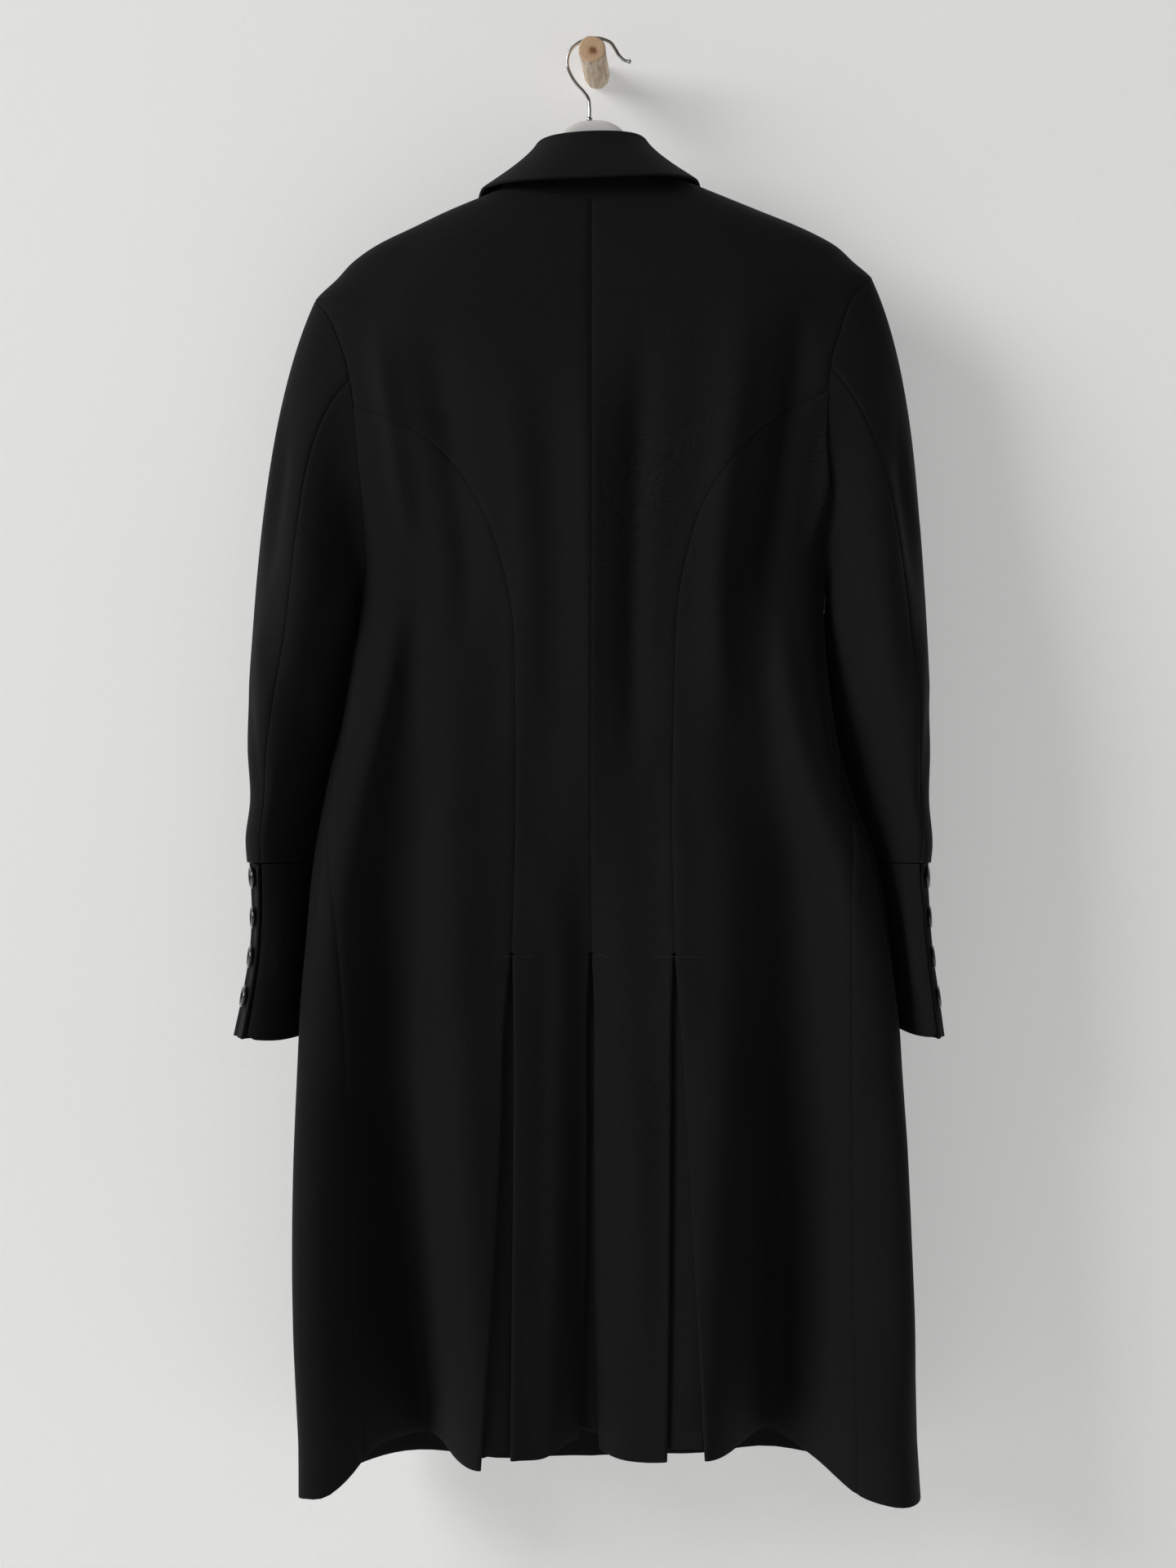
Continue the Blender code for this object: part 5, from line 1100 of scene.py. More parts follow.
def put(name, data):
    """A new object in the scene"""
    thing = bpy.data.objects.new(name, data)
    bpy.context.scene.collection.objects.link(thing)
    return thing


def cloth_piece(node, outer, inner, cells=None):
    """A closed wall of cloth between two grids of points, with the lie of the cloth as its map"""
    rows, columns = outer.shape[:2]
    if cells is None:
        cells = np.ones((rows - 1, columns - 1), bool)
    place = np.arange(rows * columns).reshape(rows, columns)
    row, column = np.nonzero(cells)
    loops = np.stack([place[row, column], place[row + 1, column],
                      place[row + 1, column + 1], place[row, column + 1]], axis=1)
    layer = rows * columns
    faces = [loops, loops[:, ::-1] + layer]
    padded = np.pad(cells, 1)
    for step, (down, across) in enumerate(((0, -1), (1, 0), (0, 1), (-1, 0))):
        free = ~padded[row + 1 + down, column + 1 + across]
        start, end = loops[free, step], loops[free, (step + 1) % 4]
        faces.append(np.stack([end, start, start + layer, end + layer], axis=1))
    used, faces = np.unique(np.concatenate(faces), return_inverse=True)
    faces = faces.reshape(-1, 4)
    points = np.concatenate([outer.reshape(-1, 3), inner.reshape(-1, 3)])[used]
    a, b, c, d = (points[faces[:, corner]] for corner in range(4))
    volume = np.sum(a * np.cross(b, c)) + np.sum(a * np.cross(c, d))
    if volume < 0:
        faces = faces[:, ::-1]
    lie = np.tile(cloth_lie(outer).reshape(-1, 2), (2, 1))[used]
    name = f"{node}_cloth"
    data = bpy.data.meshes.new(name)
    data.from_pydata(points, [], faces)
    lay = data.uv_layers.new(name=LIE)
    corners = np.zeros(len(data.loops), int)
    data.loops.foreach_get("vertex_index", corners)
    lay.data.foreach_set("uv", lie[corners].ravel())
    data.shade_smooth()
    data.materials.append(TWILL)
    piece = put(name, data)
    soften = piece.modifiers.new("soft edges", "BEVEL")
    soften.width = EDGE_SOFTNESS
    soften.segments = 2
    soften.limit_method = "ANGLE"
    soften.angle_limit = math.radians(EDGE_ANGLE)
    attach(piece, "root")
    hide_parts(node)


def cloth_lie(points):
    """Distances across and down the cloth, from the middle column and the top row"""
    middle = points.shape[1] // 2
    across = np.linalg.norm(np.diff(points, axis=1), axis=-1)
    across = np.concatenate([np.zeros((len(points), 1)), np.cumsum(across, axis=1)], axis=1)
    across = across - across[:, middle:middle + 1] + points[:, middle:middle + 1, 0]
    down = np.linalg.norm(np.diff(points, axis=0), axis=-1)
    down = np.concatenate([np.zeros((1, points.shape[1])), np.cumsum(down, axis=0)])
    down = points[:1, :, 2] - down
    return np.stack([across, down], axis=-1)


def seam_ridges(outer, normals, borders):
    """Lifts the cloth over the turnings of each sewn border and dips it at the seam itself"""
    gone = np.linalg.norm(np.diff(outer, axis=1), axis=-1)
    gone = np.concatenate([np.zeros((len(outer), 1)), np.cumsum(gone, axis=1)], axis=1)
    far = gone[:, -1:] - gone
    lift = np.zeros(outer.shape[:2])
    for border in borders:
        away = gone if border == "left" else far
        lift = lift + TURNING_HEIGHT * bell(away - TURNING_MIDDLE, TURNING_WIDTH)
        lift = lift - SEAM_DIP * bell(away, SEAM_REACH)
    return outer + normals * lift[..., None]


def onward(angles, drops, low):
    """A panel above the pleats carried on into its skirt"""
    return np.concatenate([angles[:-1], low[0]]), np.concatenate([drops[:-1], low[1]])


def make_back(side, edges):
    """The back, from the centre back seam to the princess seam, down to the hem"""
    slope = shoulder(side, np.linspace(0, 1, SHOULDER_STEPS + 1))
    arm = armhole(side, armhole_stops()[:(ARM_TOP_STEPS + 1) * FINE + 1])
    seam = princess(side, princess_stops())
    outside = tuple(np.concatenate([slope[k], arm[k][1:], seam[k][1:]]) for k in (0, 1))
    shares = (outside[1] - outside[1][0]) / (outside[1][-1] - outside[1][0])
    centre = np.zeros(len(shares)), NECK_BACK + (PLEAT_TOP - NECK_BACK) * shares
    widths = np.linspace(0, 1, BACK_NECK_STEPS + 1)
    top = tuple(line[::-1] for line in back_neck(side, widths))
    bottom = seam[0][-1] * (1 - widths), np.full(len(widths), PLEAT_TOP)
    angles, drops = patch(top, bottom, outside, centre, NECK_FADE)
    top_row = len(angles) - 1
    outer_edge, inner_edge = ("second", "first") if side == "left" else ("first", "second")

    def outside_edge(drop):
        return float(pleat_edge_angle(side, outer_edge, drop))

    def centre_edge(drop):
        return float(pleat_edge_angle("middle", inner_edge, drop))

    angles, drops = onward(angles, drops, skirt(outside_edge, centre_edge, bottom[0]))
    sewn = np.where(np.arange(len(angles)) < top_row, HALF_GAP, 0)
    outer, inner, normals = body_panel(angles, drops, {"left": sewn, "right": sewn, "top": HALF_GAP},
                                       shared_neck_and_arm(side, "back"))
    ridged = seam_ridges(outer, normals, ("left", "right"))
    rising = ease((top_row - np.arange(top_row)) / CREASE_ROWS)[:, None]
    slant = CENTRE_SLANT * rising * np.linspace(1 / SLANT_COLUMNS, 1, SLANT_COLUMNS)
    inner[:top_row, -SLANT_COLUMNS:, 0] += slant
    columns = angles.shape[1]
    outside_opening = read(PLEATS[side], f"{outer_edge}_open", drops[:, 0])
    outer, inner, first, behind = add_return(outer, inner, normals, top_row, "left", outside_opening)
    edges[(side, outer_edge)] = behind
    centre_opening = read(PLEATS["middle"], f"{inner_edge}_open", drops[:, -1])
    outer, inner, second, behind = add_return(outer, inner, normals, top_row, "right", centre_opening)
    edges[("middle", inner_edge)] = behind
    before = first.shape[1]
    outer[:top_row, before:before + columns] = ridged[:top_row]
    cells = np.ones((len(angles) - 1, columns - 1), bool)
    cloth_piece(f"back_{side}", outer, inner, np.concatenate([first, cells, second], axis=1))


def make_side_back(side, edges):
    """The side back, from the princess seam to the side seam, down to the hem"""
    arm = armhole(side, armhole_stops()[(ARM_TOP_STEPS + 1) * FINE:])
    seam = princess(side, princess_stops())
    side_line = side_seam(side, upper_side_drops(side))
    top = arm[0][::-1], arm[1][::-1]
    low_edge = np.linspace(side_line[0][-1], seam[0][-1], ARM_BACK_STEPS * FINE + 1)
    angles, drops = patch(top, (low_edge, np.full(len(low_edge), PLEAT_TOP)), side_line, seam)
    top_row = len(angles) - 1
    edge = "first" if side == "left" else "second"

    def seam_edge(drop):
        return float(side_seam(side, drop)[0])

    def pleat_edge(drop):
        return float(pleat_edge_angle(side, edge, drop))

    angles, drops = onward(angles, drops, skirt(seam_edge, pleat_edge, low_edge))
    sewn = np.where(np.arange(len(angles)) < top_row, HALF_GAP, 0)
    borders = {"left": HALF_GAP, "right": sewn, "top": HALF_GAP}
    outer, inner, normals = body_panel(angles, drops, borders, shared_neck_and_arm(side, "side back"))
    ridged = seam_ridges(outer, normals, ("left", "right"))
    half = seam_ridges(outer, normals, ("left",))
    opening = read(PLEATS[side], f"{edge}_open", drops[:, -1])
    columns = angles.shape[1]
    outer, inner, added, behind = add_return(outer, inner, normals, top_row, "right", opening)
    edges[(side, edge)] = behind
    outer[:top_row, :columns] = ridged[:top_row]
    outer[top_row:, :columns // 2] = half[top_row:, :columns // 2]
    cells = np.ones((len(angles) - 1, columns - 1), bool)
    cloth_piece(f"side_back_{side}", outer, inner, np.concatenate([cells, added], axis=1))


def make_front(side):
    """One front: from the side seam round to the centre front and its lap"""
    sign = sign_of(side)
    arm = armhole(side, front_arm_stops(), front=True)
    slope = shoulder(side, np.linspace(0, 1, SHOULDER_STEPS + 1))
    outside = tuple(np.concatenate([slope[k], arm[k][1:]]) for k in (0, 1))
    outside = front_angles(side, outside[0]), outside[1]
    neck = front_neck(side, front_neck_stops())
    lap = sign * lap_angle(NECK_FRONT) * np.linspace(0, 1, LAP_STEPS + 1)[1:]
    top = (np.append(front_angles(side, neck[0]), 180 + lap),
           np.append(neck[1], np.full(LAP_STEPS, NECK_FRONT)))
    pit = armpit_level(side)
    shoulder_end = slope[1][-1]
    edge_drop = np.interp(outside[1], (slope[1][0], shoulder_end, pit),
                          (NECK_FRONT, shoulder_end + EDGE_SLIP, pit))
    edge = 180 + sign * lap_angle(edge_drop), edge_drop
    bottom_angles = front_row(side, 90 if side == "right" else 270, pit)
    columns = len(bottom_angles)
    angles, drops = patch(top, (bottom_angles, np.full(columns, pit)), outside, edge, NECK_FADE)
    angles, drops = onward(angles, drops, front_skirt(side, bottom_angles))
    sewn = np.where(np.arange(columns) <= FRONT_NECK_STEPS + LAP_STEPS, HALF_GAP, 0)
    lift = under_lap(angles) if side == "left" else 0
    outer, inner, normals = body_panel(angles, drops, {"left": HALF_GAP, "top": sewn},
                                       shared_neck_and_arm(side, "front"), lift)
    cloth_piece(f"front_{side}", seam_ridges(outer, normals, ("left",)), inner)


def make_underlay(name, edges):
    """The cloth at the bottom of an inverted pleat, between the ends of its two returns"""
    both = np.concatenate([edges[(name, "first")][:, :, ::-1], edges[(name, "second")]], axis=2)
    row = np.arange(both.shape[1]) * (1 - UNDERLAY_SHORT / (MEAN_HEM - PLEAT_TOP))
    low = np.minimum(row.astype(int), both.shape[1] - 2)
    share = (row - low)[:, None, None]
    middle, out = both[:, low] * (1 - share) + both[:, low + 1] * share
    middle = np.concatenate([middle[:1] + (0, 0, UNDERLAY_ABOVE), middle])
    out = np.concatenate([out[:1], out])
    cloth_piece(f"pleat_underlay_{name}", middle + out * CLOTH / 2, middle - out * CLOTH / 2)


def make_sleeve(side):
    """The upper and the under sleeve"""
    directions = arm_directions(side)
    for name, (grid, normals, _) in sleeve_pieces(side).items():
        height = sleeve_creases(side, grid) * ease(np.arange(len(grid)) / CREASE_ROWS)[:, None]
        moved = set_back(grid, normals, dict.fromkeys(BORDERS, HALF_GAP))
        outer = grid + moved + normals * height[..., None]
        depth = normals.copy()
        depth[0] = directions[name]
        ridged = seam_ridges(outer, normals, ("left", "right"))
        cloth_piece(f"{name}_sleeve_{side}", ridged, outer - depth * CLOTH)


def make_cuff(side):
    """A deep cuff, open at the back of its outer side"""
    turns, shares = np.meshgrid(cuff_turns(), np.linspace(0, 1, CUFF_ROWS + 1))
    level, lean = CUFF_BOTTOM[side]
    droop = CUFF_DROOP * bell(turns - CUFF_DROOP_TURN, CUFF_DROOP_WIDTH)
    corner = CUFF_CORNER * bell(turns - CUFF_EDGE_TURN, CUFF_CORNER_WIDTH)
    bottom = level + lean * np.cos(np.radians(turns)) + droop - corner
    drops = CUFF_TOP + CUFF_SEAM + (bottom - CUFF_TOP - CUFF_SEAM) * shares
    outer = cuff_point(side, turns, drops)
    normals = cuff_normal(side, turns, drops)
    outer = outer + normals * sleeve_creases(side, outer)[..., None]
    cloth_piece(f"cuff_{side}", outer, outer - normals * CLOTH)


def make_collar():
    """The stand, sewn to the neckline, and the fall that turns down over it"""
    left, right = stand_half("left"), stand_half("right")
    grid = np.concatenate([left[0][:, ::-1], right[0][:, 1:]], axis=1)
    normals = np.concatenate([left[1][:, ::-1], right[1][:, 1:]], axis=1)
    shared = np.concatenate([seam_normals(left[2], left[1][0])[::-1],
                             seam_normals(right[2], right[1][0])[1:]])
    centre = left[0].shape[1] - 1
    normals[:, centre] = unit(normals[:, centre - 1] + normals[:, centre + 1])
    outer = grid + set_back(grid, normals, {"top": HALF_GAP, "left": STAND_END, "right": STAND_END})
    depth = normals.copy()
    depth[0] = shared
    cloth_piece("collar_stand", outer, outer - depth * CLOTH)

    half = neck_turns()
    grid, normals = fall_grids(np.concatenate([-half[::-1], half[1:]]))
    cloth_piece("collar_fall", grid + normals * CLOTH / 2, grid - normals * CLOTH / 2)


# Buttons, hanger, hook and peg

def as_mesh(name, mesh):
    """Mesh data from a bmesh, which is then let go"""
    data = bpy.data.meshes.new(name)
    mesh.to_mesh(data)
    mesh.free()
    return data


def plain_mesh(thing):
    """The mesh that an object's modifiers make, in place of the object itself"""
    made = bpy.data.meshes.new_from_object(thing.evaluated_get(bpy.context.evaluated_depsgraph_get()))
    bpy.data.objects.remove(thing, do_unlink=True)
    return made


def plain_piece(name, mesh, materials, node):
    """Turns a finished bmesh into a piece that stands for its solid"""
    data = as_mesh(name, mesh)
    for material in materials:
        data.materials.append(material)
    data.shade_smooth()
    data.set_sharp_from_angle(angle=math.radians(SHARP_ANGLE))
    piece = put(name, data)
    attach(piece, "root")
    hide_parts(node)


def turned(mesh, profile, segments):
    """Adds a form turned about Z, from a profile of radii and heights, to a bmesh"""
    rings = []
    for radius, height in profile:
        if radius < 1e-6:
            rings.append([mesh.verts.new((0, 0, height))])
            continue
        rings.append([mesh.verts.new((radius * math.cos(turn), radius * math.sin(turn), height))
                      for turn in np.linspace(0, 2 * math.pi, segments, endpoint=False)])
    for first, second in zip(rings, rings[1:]):
        for count in range(segments):
            after = (count + 1) % segments
            corners = [first[count % len(first)], first[after % len(first)],
                       second[after % len(second)], second[count % len(second)]]
            corners = list(dict.fromkeys(corners))
            if len(corners) > 2:
                mesh.faces.new(corners)
    return [vert for ring in rings for vert in ring]


def ring_solid(mesh, rings):
    """Adds a closed form through rings of points to a bmesh"""
    loops = [[mesh.verts.new(point) for point in ring] for ring in rings]
    for first, second in zip(loops, loops[1:]):
        for count in range(len(first)):
            after = (count + 1) % len(first)
            mesh.faces.new((first[count], first[after], second[after], second[count]))
    mesh.faces.new(loops[0][::-1])
    mesh.faces.new(loops[-1])


def tube(mesh, path, radius, sides, over=None):
    """Adds a closed round tube along a path to a bmesh; over is a direction square to the path"""
    rings = []
    for count, point in enumerate(path):
        ahead = (path[min(count + 1, len(path) - 1)] - path[max(count - 1, 0)]).normalized()
        across = ahead.cross(over) if over else ahead.orthogonal().normalized()
        up = over or ahead.cross(across)
        rings.append([point + radius * (across * math.cos(turn) + up * math.sin(turn))
                      for turn in np.linspace(0, 2 * math.pi, sides, endpoint=False)])
    ring_solid(mesh, rings)


BUTTON_PROFILE = table("radius height", (0.0, 0.42), (0.30, 0.43), (0.56, 0.47), (0.68, 0.62),
                       (0.76, 0.86), (0.84, 0.98), (0.92, 0.98), (0.985, 0.80), (1.0, 0.55),
                       (0.98, 0.30), (0.90, 0.10), (0.78, 0.02), (0.5, 0.0), (0.0, 0.0))


def round_way(turn):
    """The direction at a turn about Z"""
    return Vector((math.cos(math.radians(turn)), math.sin(math.radians(turn)), 0))


def button_shape(diameter):
    """A glossy four-hole button with a rounded rim, facing +Z and resting on Z = 0"""
    thick = diameter * BUTTON_THICKNESS
    profile = [(radius * diameter / 2, height * thick)
               for radius, height in zip(BUTTON_PROFILE["radius"], BUTTON_PROFILE["height"])]
    mesh = bmesh.new()
    turned(mesh, profile, BUTTON_SIDES)
    bmesh.ops.recalc_face_normals(mesh, faces=mesh.faces)
    blank = put("button blank", as_mesh("button blank", mesh))
    mesh = bmesh.new()
    hole = diameter * BUTTON_HOLE
    for turn in HOLE_TURNS:
        place = round_way(turn) * diameter * BUTTON_HOLES_OUT
        bmesh.ops.create_cone(mesh, cap_ends=True, segments=HOLE_SIDES, radius1=hole, radius2=hole,
                              depth=thick * 4, matrix=Matrix.Translation(place))
    drill = put("drill", as_mesh("drill", mesh))
    cut = blank.modifiers.new("holes", "BOOLEAN")
    cut.object = drill
    cut.solver = "EXACT"
    shape = plain_mesh(blank)
    bpy.data.objects.remove(drill, do_unlink=True)
    return shape


def thread_shape(mesh, diameter):
    """Adds the two crossed stitches of thread that hold a button, and their shank"""
    thick = diameter * BUTTON_THICKNESS
    reach = diameter * BUTTON_HOLES_OUT
    for turn, lift in zip(HOLE_TURNS, (0.0, THREAD_CROSSING)):
        along = round_way(turn)
        stops = [(-reach, -0.2), (-reach, 0.25), (-reach * 0.8, 0.62), (0, 0.70),
                 (reach * 0.8, 0.62), (reach, 0.25), (reach, -0.2)]
        path = [along * out + Vector((0, 0, height * thick + lift)) for out, height in stops]
        tube(mesh, path, diameter * BUTTON_THREAD, THREAD_SIDES)
    shank = [Vector((0, 0, -BUTTON_GAP - 0.0004)), Vector((0, 0, thick * 0.1))]
    tube(mesh, shank, diameter * BUTTON_SHANK, THREAD_SIDES)


def make_button(name, place, facing, diameter, shape, spin):
    """A button with its thread, seated on the cloth"""
    mesh = bmesh.new()
    mesh.from_mesh(shape)
    before = set(mesh.faces)
    thread_shape(mesh, diameter)
    for face in mesh.faces:
        if face not in before:
            face.material_index = 1
    turn = Vector(facing).to_track_quat("Z", "Y").to_matrix().to_4x4()
    seat = Vector(place) + Vector(facing) * BUTTON_GAP
    spun = Matrix.Rotation(math.radians(spin), 4, "Z")
    bmesh.ops.transform(mesh, matrix=Matrix.Translation(seat) @ turn @ spun, verts=mesh.verts)
    plain_piece(f"{name}_horn", mesh, (HORN, THREAD), name)


def make_buttons():
    """Four buttons on each cuff and a row down the front"""
    small, large = button_shape(CUFF_BUTTON), button_shape(FRONT_BUTTON)
    for side in ("left", "right"):
        for count in range(4):
            drop = CUFF_TOP + CUFF_BUTTON_FIRST + CUFF_BUTTON_SPACING * count
            place = cuff_point(side, CUFF_BUTTON_TURN, drop)
            facing = cuff_normal(side, CUFF_BUTTON_TURN, drop)
            rim = cuff_point(side, CUFF_BUTTON_TURN + np.array((0, 0, -1, 1)) * BUTTON_RIM_TURN,
                             drop + np.array((-0.5, 0.5, 0, 0)) * CUFF_BUTTON)
            place = place + facing * max(0, np.max((rim - place) @ facing))
            make_button(f"cuff_button_{side}_{count + 1}", place, facing, CUFF_BUTTON, small,
                        BUTTON_SPINS[count])
    for count, drop in enumerate(FRONT_BUTTON_DROPS):
        place, facing = body_point(180.0, drop), body_normal(180.0, drop)
        make_button(f"front_button_{count + 1}", place, facing, FRONT_BUTTON, large,
                    BUTTON_SPINS[count])


def make_hanger():
    """The moulded hanger, with its rounded shoulders"""
    steps = np.concatenate([np.linspace(0, ARM_ROUND, 81), ARM_END_STATIONS])
    outs = np.concatenate([-steps[:0:-1], steps])
    places = hanger_place(outs)
    runs = unit(np.gradient(places, axis=0))
    turns = np.radians(np.arange(HANGER_SIDES) * 360 / HANGER_SIDES)
    rings = []
    for place, run, out in zip(places, runs, outs):
        high, deep = read(HANGER, "high", abs(out)), read(HANGER, "deep", abs(out))
        shrink = math.sqrt(max(0.02, 1 - max(0, (abs(out) - ARM_ROUND) / ARM_ROUND_LENGTH) ** 2))
        across = np.cross(run, (0, 1, 0))
        rings.append([place + across * math.cos(turn) * high * shrink
                      + np.array((0, 1, 0)) * math.sin(turn) * deep * shrink for turn in turns])
    mesh = bmesh.new()
    ring_solid(mesh, rings)
    bmesh.ops.recalc_face_normals(mesh, faces=mesh.faces)
    plain_piece("hanger_moulded", mesh, (HANGER_WHITE,), "hanger")


def make_hook():
    """The wire hook: its S-shaped neck, the round over the peg and the small ball on its end"""
    path = stretch(HOOK, ("x", "z"))
    shares = np.linspace(0, 1, HOOK_POINTS)
    points = [Vector((x, HANGER_DEPTH, z))
              for x, z in zip(read(path, "x", shares), read(path, "z", shares))]
    mesh = bmesh.new()
    tube(mesh, points, HOOK_WIRE, WIRE_SIDES, over=Vector((0, 1, 0)))
    ahead = (points[-1] - points[-3]).normalized()
    before = set(mesh.verts)
    bmesh.ops.create_uvsphere(mesh, u_segments=24, v_segments=14, radius=HOOK_WIRE * HOOK_BALL)
    ball = [vert for vert in mesh.verts if vert not in before]
    bmesh.ops.translate(mesh, verts=ball, vec=points[-1] + ahead * HOOK_WIRE * 0.6)
    ferrule = turned(mesh, FERRULE_PROFILE, 24)
    out = points[0].x - MIDDLE
    top = hanger_place(np.array([out, out + 0.001]))[0][2] + read(HANGER, "high", abs(out))
    bmesh.ops.translate(mesh, verts=ferrule, vec=(points[0].x, HANGER_DEPTH, top + FERRULE_LIFT))
    bmesh.ops.recalc_face_normals(mesh, faces=mesh.faces)
    plain_piece("hanger_hook_wire", mesh, (WIRE,), "hanger_hook")


def make_peg():
    """The wooden peg: a short length of branch, not quite round, with a softened end"""
    stations = [(0.0, 1.0), (0.002, 1.0)]
    stations += [(away, 1.0) for away in np.linspace(0.008, PEG_LENGTH - 0.004, 26)]
    stations += [(PEG_LENGTH - short, share) for short, share in PEG_END_PROFILE]
    turns = np.linspace(0, 2 * math.pi, PEG_SIDES, endpoint=False)
    rings = []
    for away, share in stations:
        base = PEG_WALL_RADIUS + (PEG_END_RADIUS - PEG_WALL_RADIUS) * away / PEG_LENGTH
        wobble = (0.00022 * np.sin(3 * turns + 9 * away) + 0.00015 * np.sin(5 * turns - 21 * away)
                  + 0.0001 * np.sin(9 * turns + 35 * away + 1) + 0.00012 * math.sin(70 * away))
        radius = (base - 0.0002 + wobble) * share
        middle = PEG_LEAN * away / PEG_LENGTH
        rings.append(np.stack([middle + radius * np.cos(turns), np.full(PEG_SIDES, -away),
                               radius * np.sin(turns)], axis=-1))
    mesh = bmesh.new()
    ring_solid(mesh, rings)
    bmesh.ops.recalc_face_normals(mesh, faces=mesh.faces)
    for face in mesh.faces:
        if face.calc_center_median().y < -PEG_LENGTH + 0.0004:
            face.material_index = 1
    plain_piece("wall_peg_wood", mesh, (PEG_SIDE, PEG_END), "wall_peg")


# Stitches, laid along paths by Geometry Nodes

def add_node(tree, kind, inputs=None, **settings):
    """A new node, whose inputs are given as values or as other nodes' outputs"""
    made = tree.nodes.new(kind)
    for key, value in settings.items():
        setattr(made, key, value)
    for key, value in (inputs or {}).items():
        if isinstance(value, bpy.types.NodeSocket):
            tree.links.new(value, made.inputs[key])
        else:
            made.inputs[key].default_value = value
    return made


def stitch_tree(material):
    """A node tree that lays short stitches along a path, each turned a little its own way"""
    tree = bpy.data.node_groups.new("stitches along a path", "GeometryNodeTree")
    face = tree.interface
    face.new_socket("Path", in_out="INPUT", socket_type="NodeSocketGeometry")
    for name, value in STITCH_SIZES.items():
        face.new_socket(name, in_out="INPUT", socket_type="NodeSocketFloat").default_value = value
    face.new_socket("Stitches", in_out="OUTPUT", socket_type="NodeSocketGeometry")

    def node(kind, inputs=None, **settings):
        return add_node(tree, kind, inputs, **settings).outputs

    given = node("NodeGroupInput")
    spread = node("GeometryNodeCurveToPoints",
                  {"Curve": given["Path"], "Length": given["Spacing"]}, mode="LENGTH")
    stitch = node("GeometryNodeMeshUVSphere", {"Segments": 8, "Rings": 6, "Radius": 0.5})["Mesh"]
    size = node("ShaderNodeCombineXYZ", {"X": given["Thickness"], "Y": given["Thickness"],
                                         "Z": given["Length"]})["Vector"]
    high = node("ShaderNodeCombineXYZ", dict.fromkeys("XYZ", given["Slant"]))["Vector"]
    low = node("ShaderNodeVectorMath", {"Vector": high, "Scale": -1.0}, operation="SCALE")["Vector"]
    lean = node("FunctionNodeRandomValue", {0: low, 1: high, "Seed": 7}, data_type="FLOAT_VECTOR")[0]
    euler = node("FunctionNodeEulerToRotation", {0: lean})[0]
    tilt = node("FunctionNodeRotateRotation", {0: spread["Rotation"], 1: euler},
                rotation_space="LOCAL")[0]
    laid = node("GeometryNodeInstanceOnPoints", {"Points": spread["Points"], "Instance": stitch,
                                                 "Rotation": tilt, "Scale": size})["Instances"]
    real = node("GeometryNodeRealizeInstances", {"Geometry": laid})["Geometry"]
    smooth = node("GeometryNodeSetShadeSmooth", {0: real})[0]
    dressed = node("GeometryNodeSetMaterial", {"Geometry": smooth, "Material": material})["Geometry"]
    node("NodeGroupOutput", {"Stitches": dressed})
    return tree


def stitch_rows(name, paths, tree, sizes):
    """Stitches along one or more open paths, as one plain mesh"""
    curve = bpy.data.curves.new(name, "CURVE")
    curve.dimensions = "3D"
    for path in paths:
        spline = curve.splines.new("POLY")
        spline.points.add(len(path) - 1)
        spline.points.foreach_set("co", np.column_stack([path, np.ones(len(path))]).ravel())
    guide = put(name, curve)
    sew = guide.modifiers.new("stitches", "NODES")
    sew.node_group = tree
    for item in tree.interface.items_tree:
        if item.in_out == "INPUT" and item.name in sizes:
            sew[item.identifier] = sizes[item.name]
    piece = put(name, plain_mesh(guide))
    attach(piece, "root")


def make_stitches():
    """The tacking across the top of each pleat"""
    rows = []
    for first, last in PLEAT_TACKS.values():
        angle = angle_at(np.linspace(first, last, 30), PLEAT_TACK_DROP)
        lift = body_creases(angle, PLEAT_TACK_DROP) + TACK_LIFT
        rows.append(body_point(angle, PLEAT_TACK_DROP)
                    + body_normal(angle, PLEAT_TACK_DROP) * lift[:, None])
    stitch_rows("pleat_tacking", rows, stitch_tree(THREAD), TACK_SIZES)


# Materials

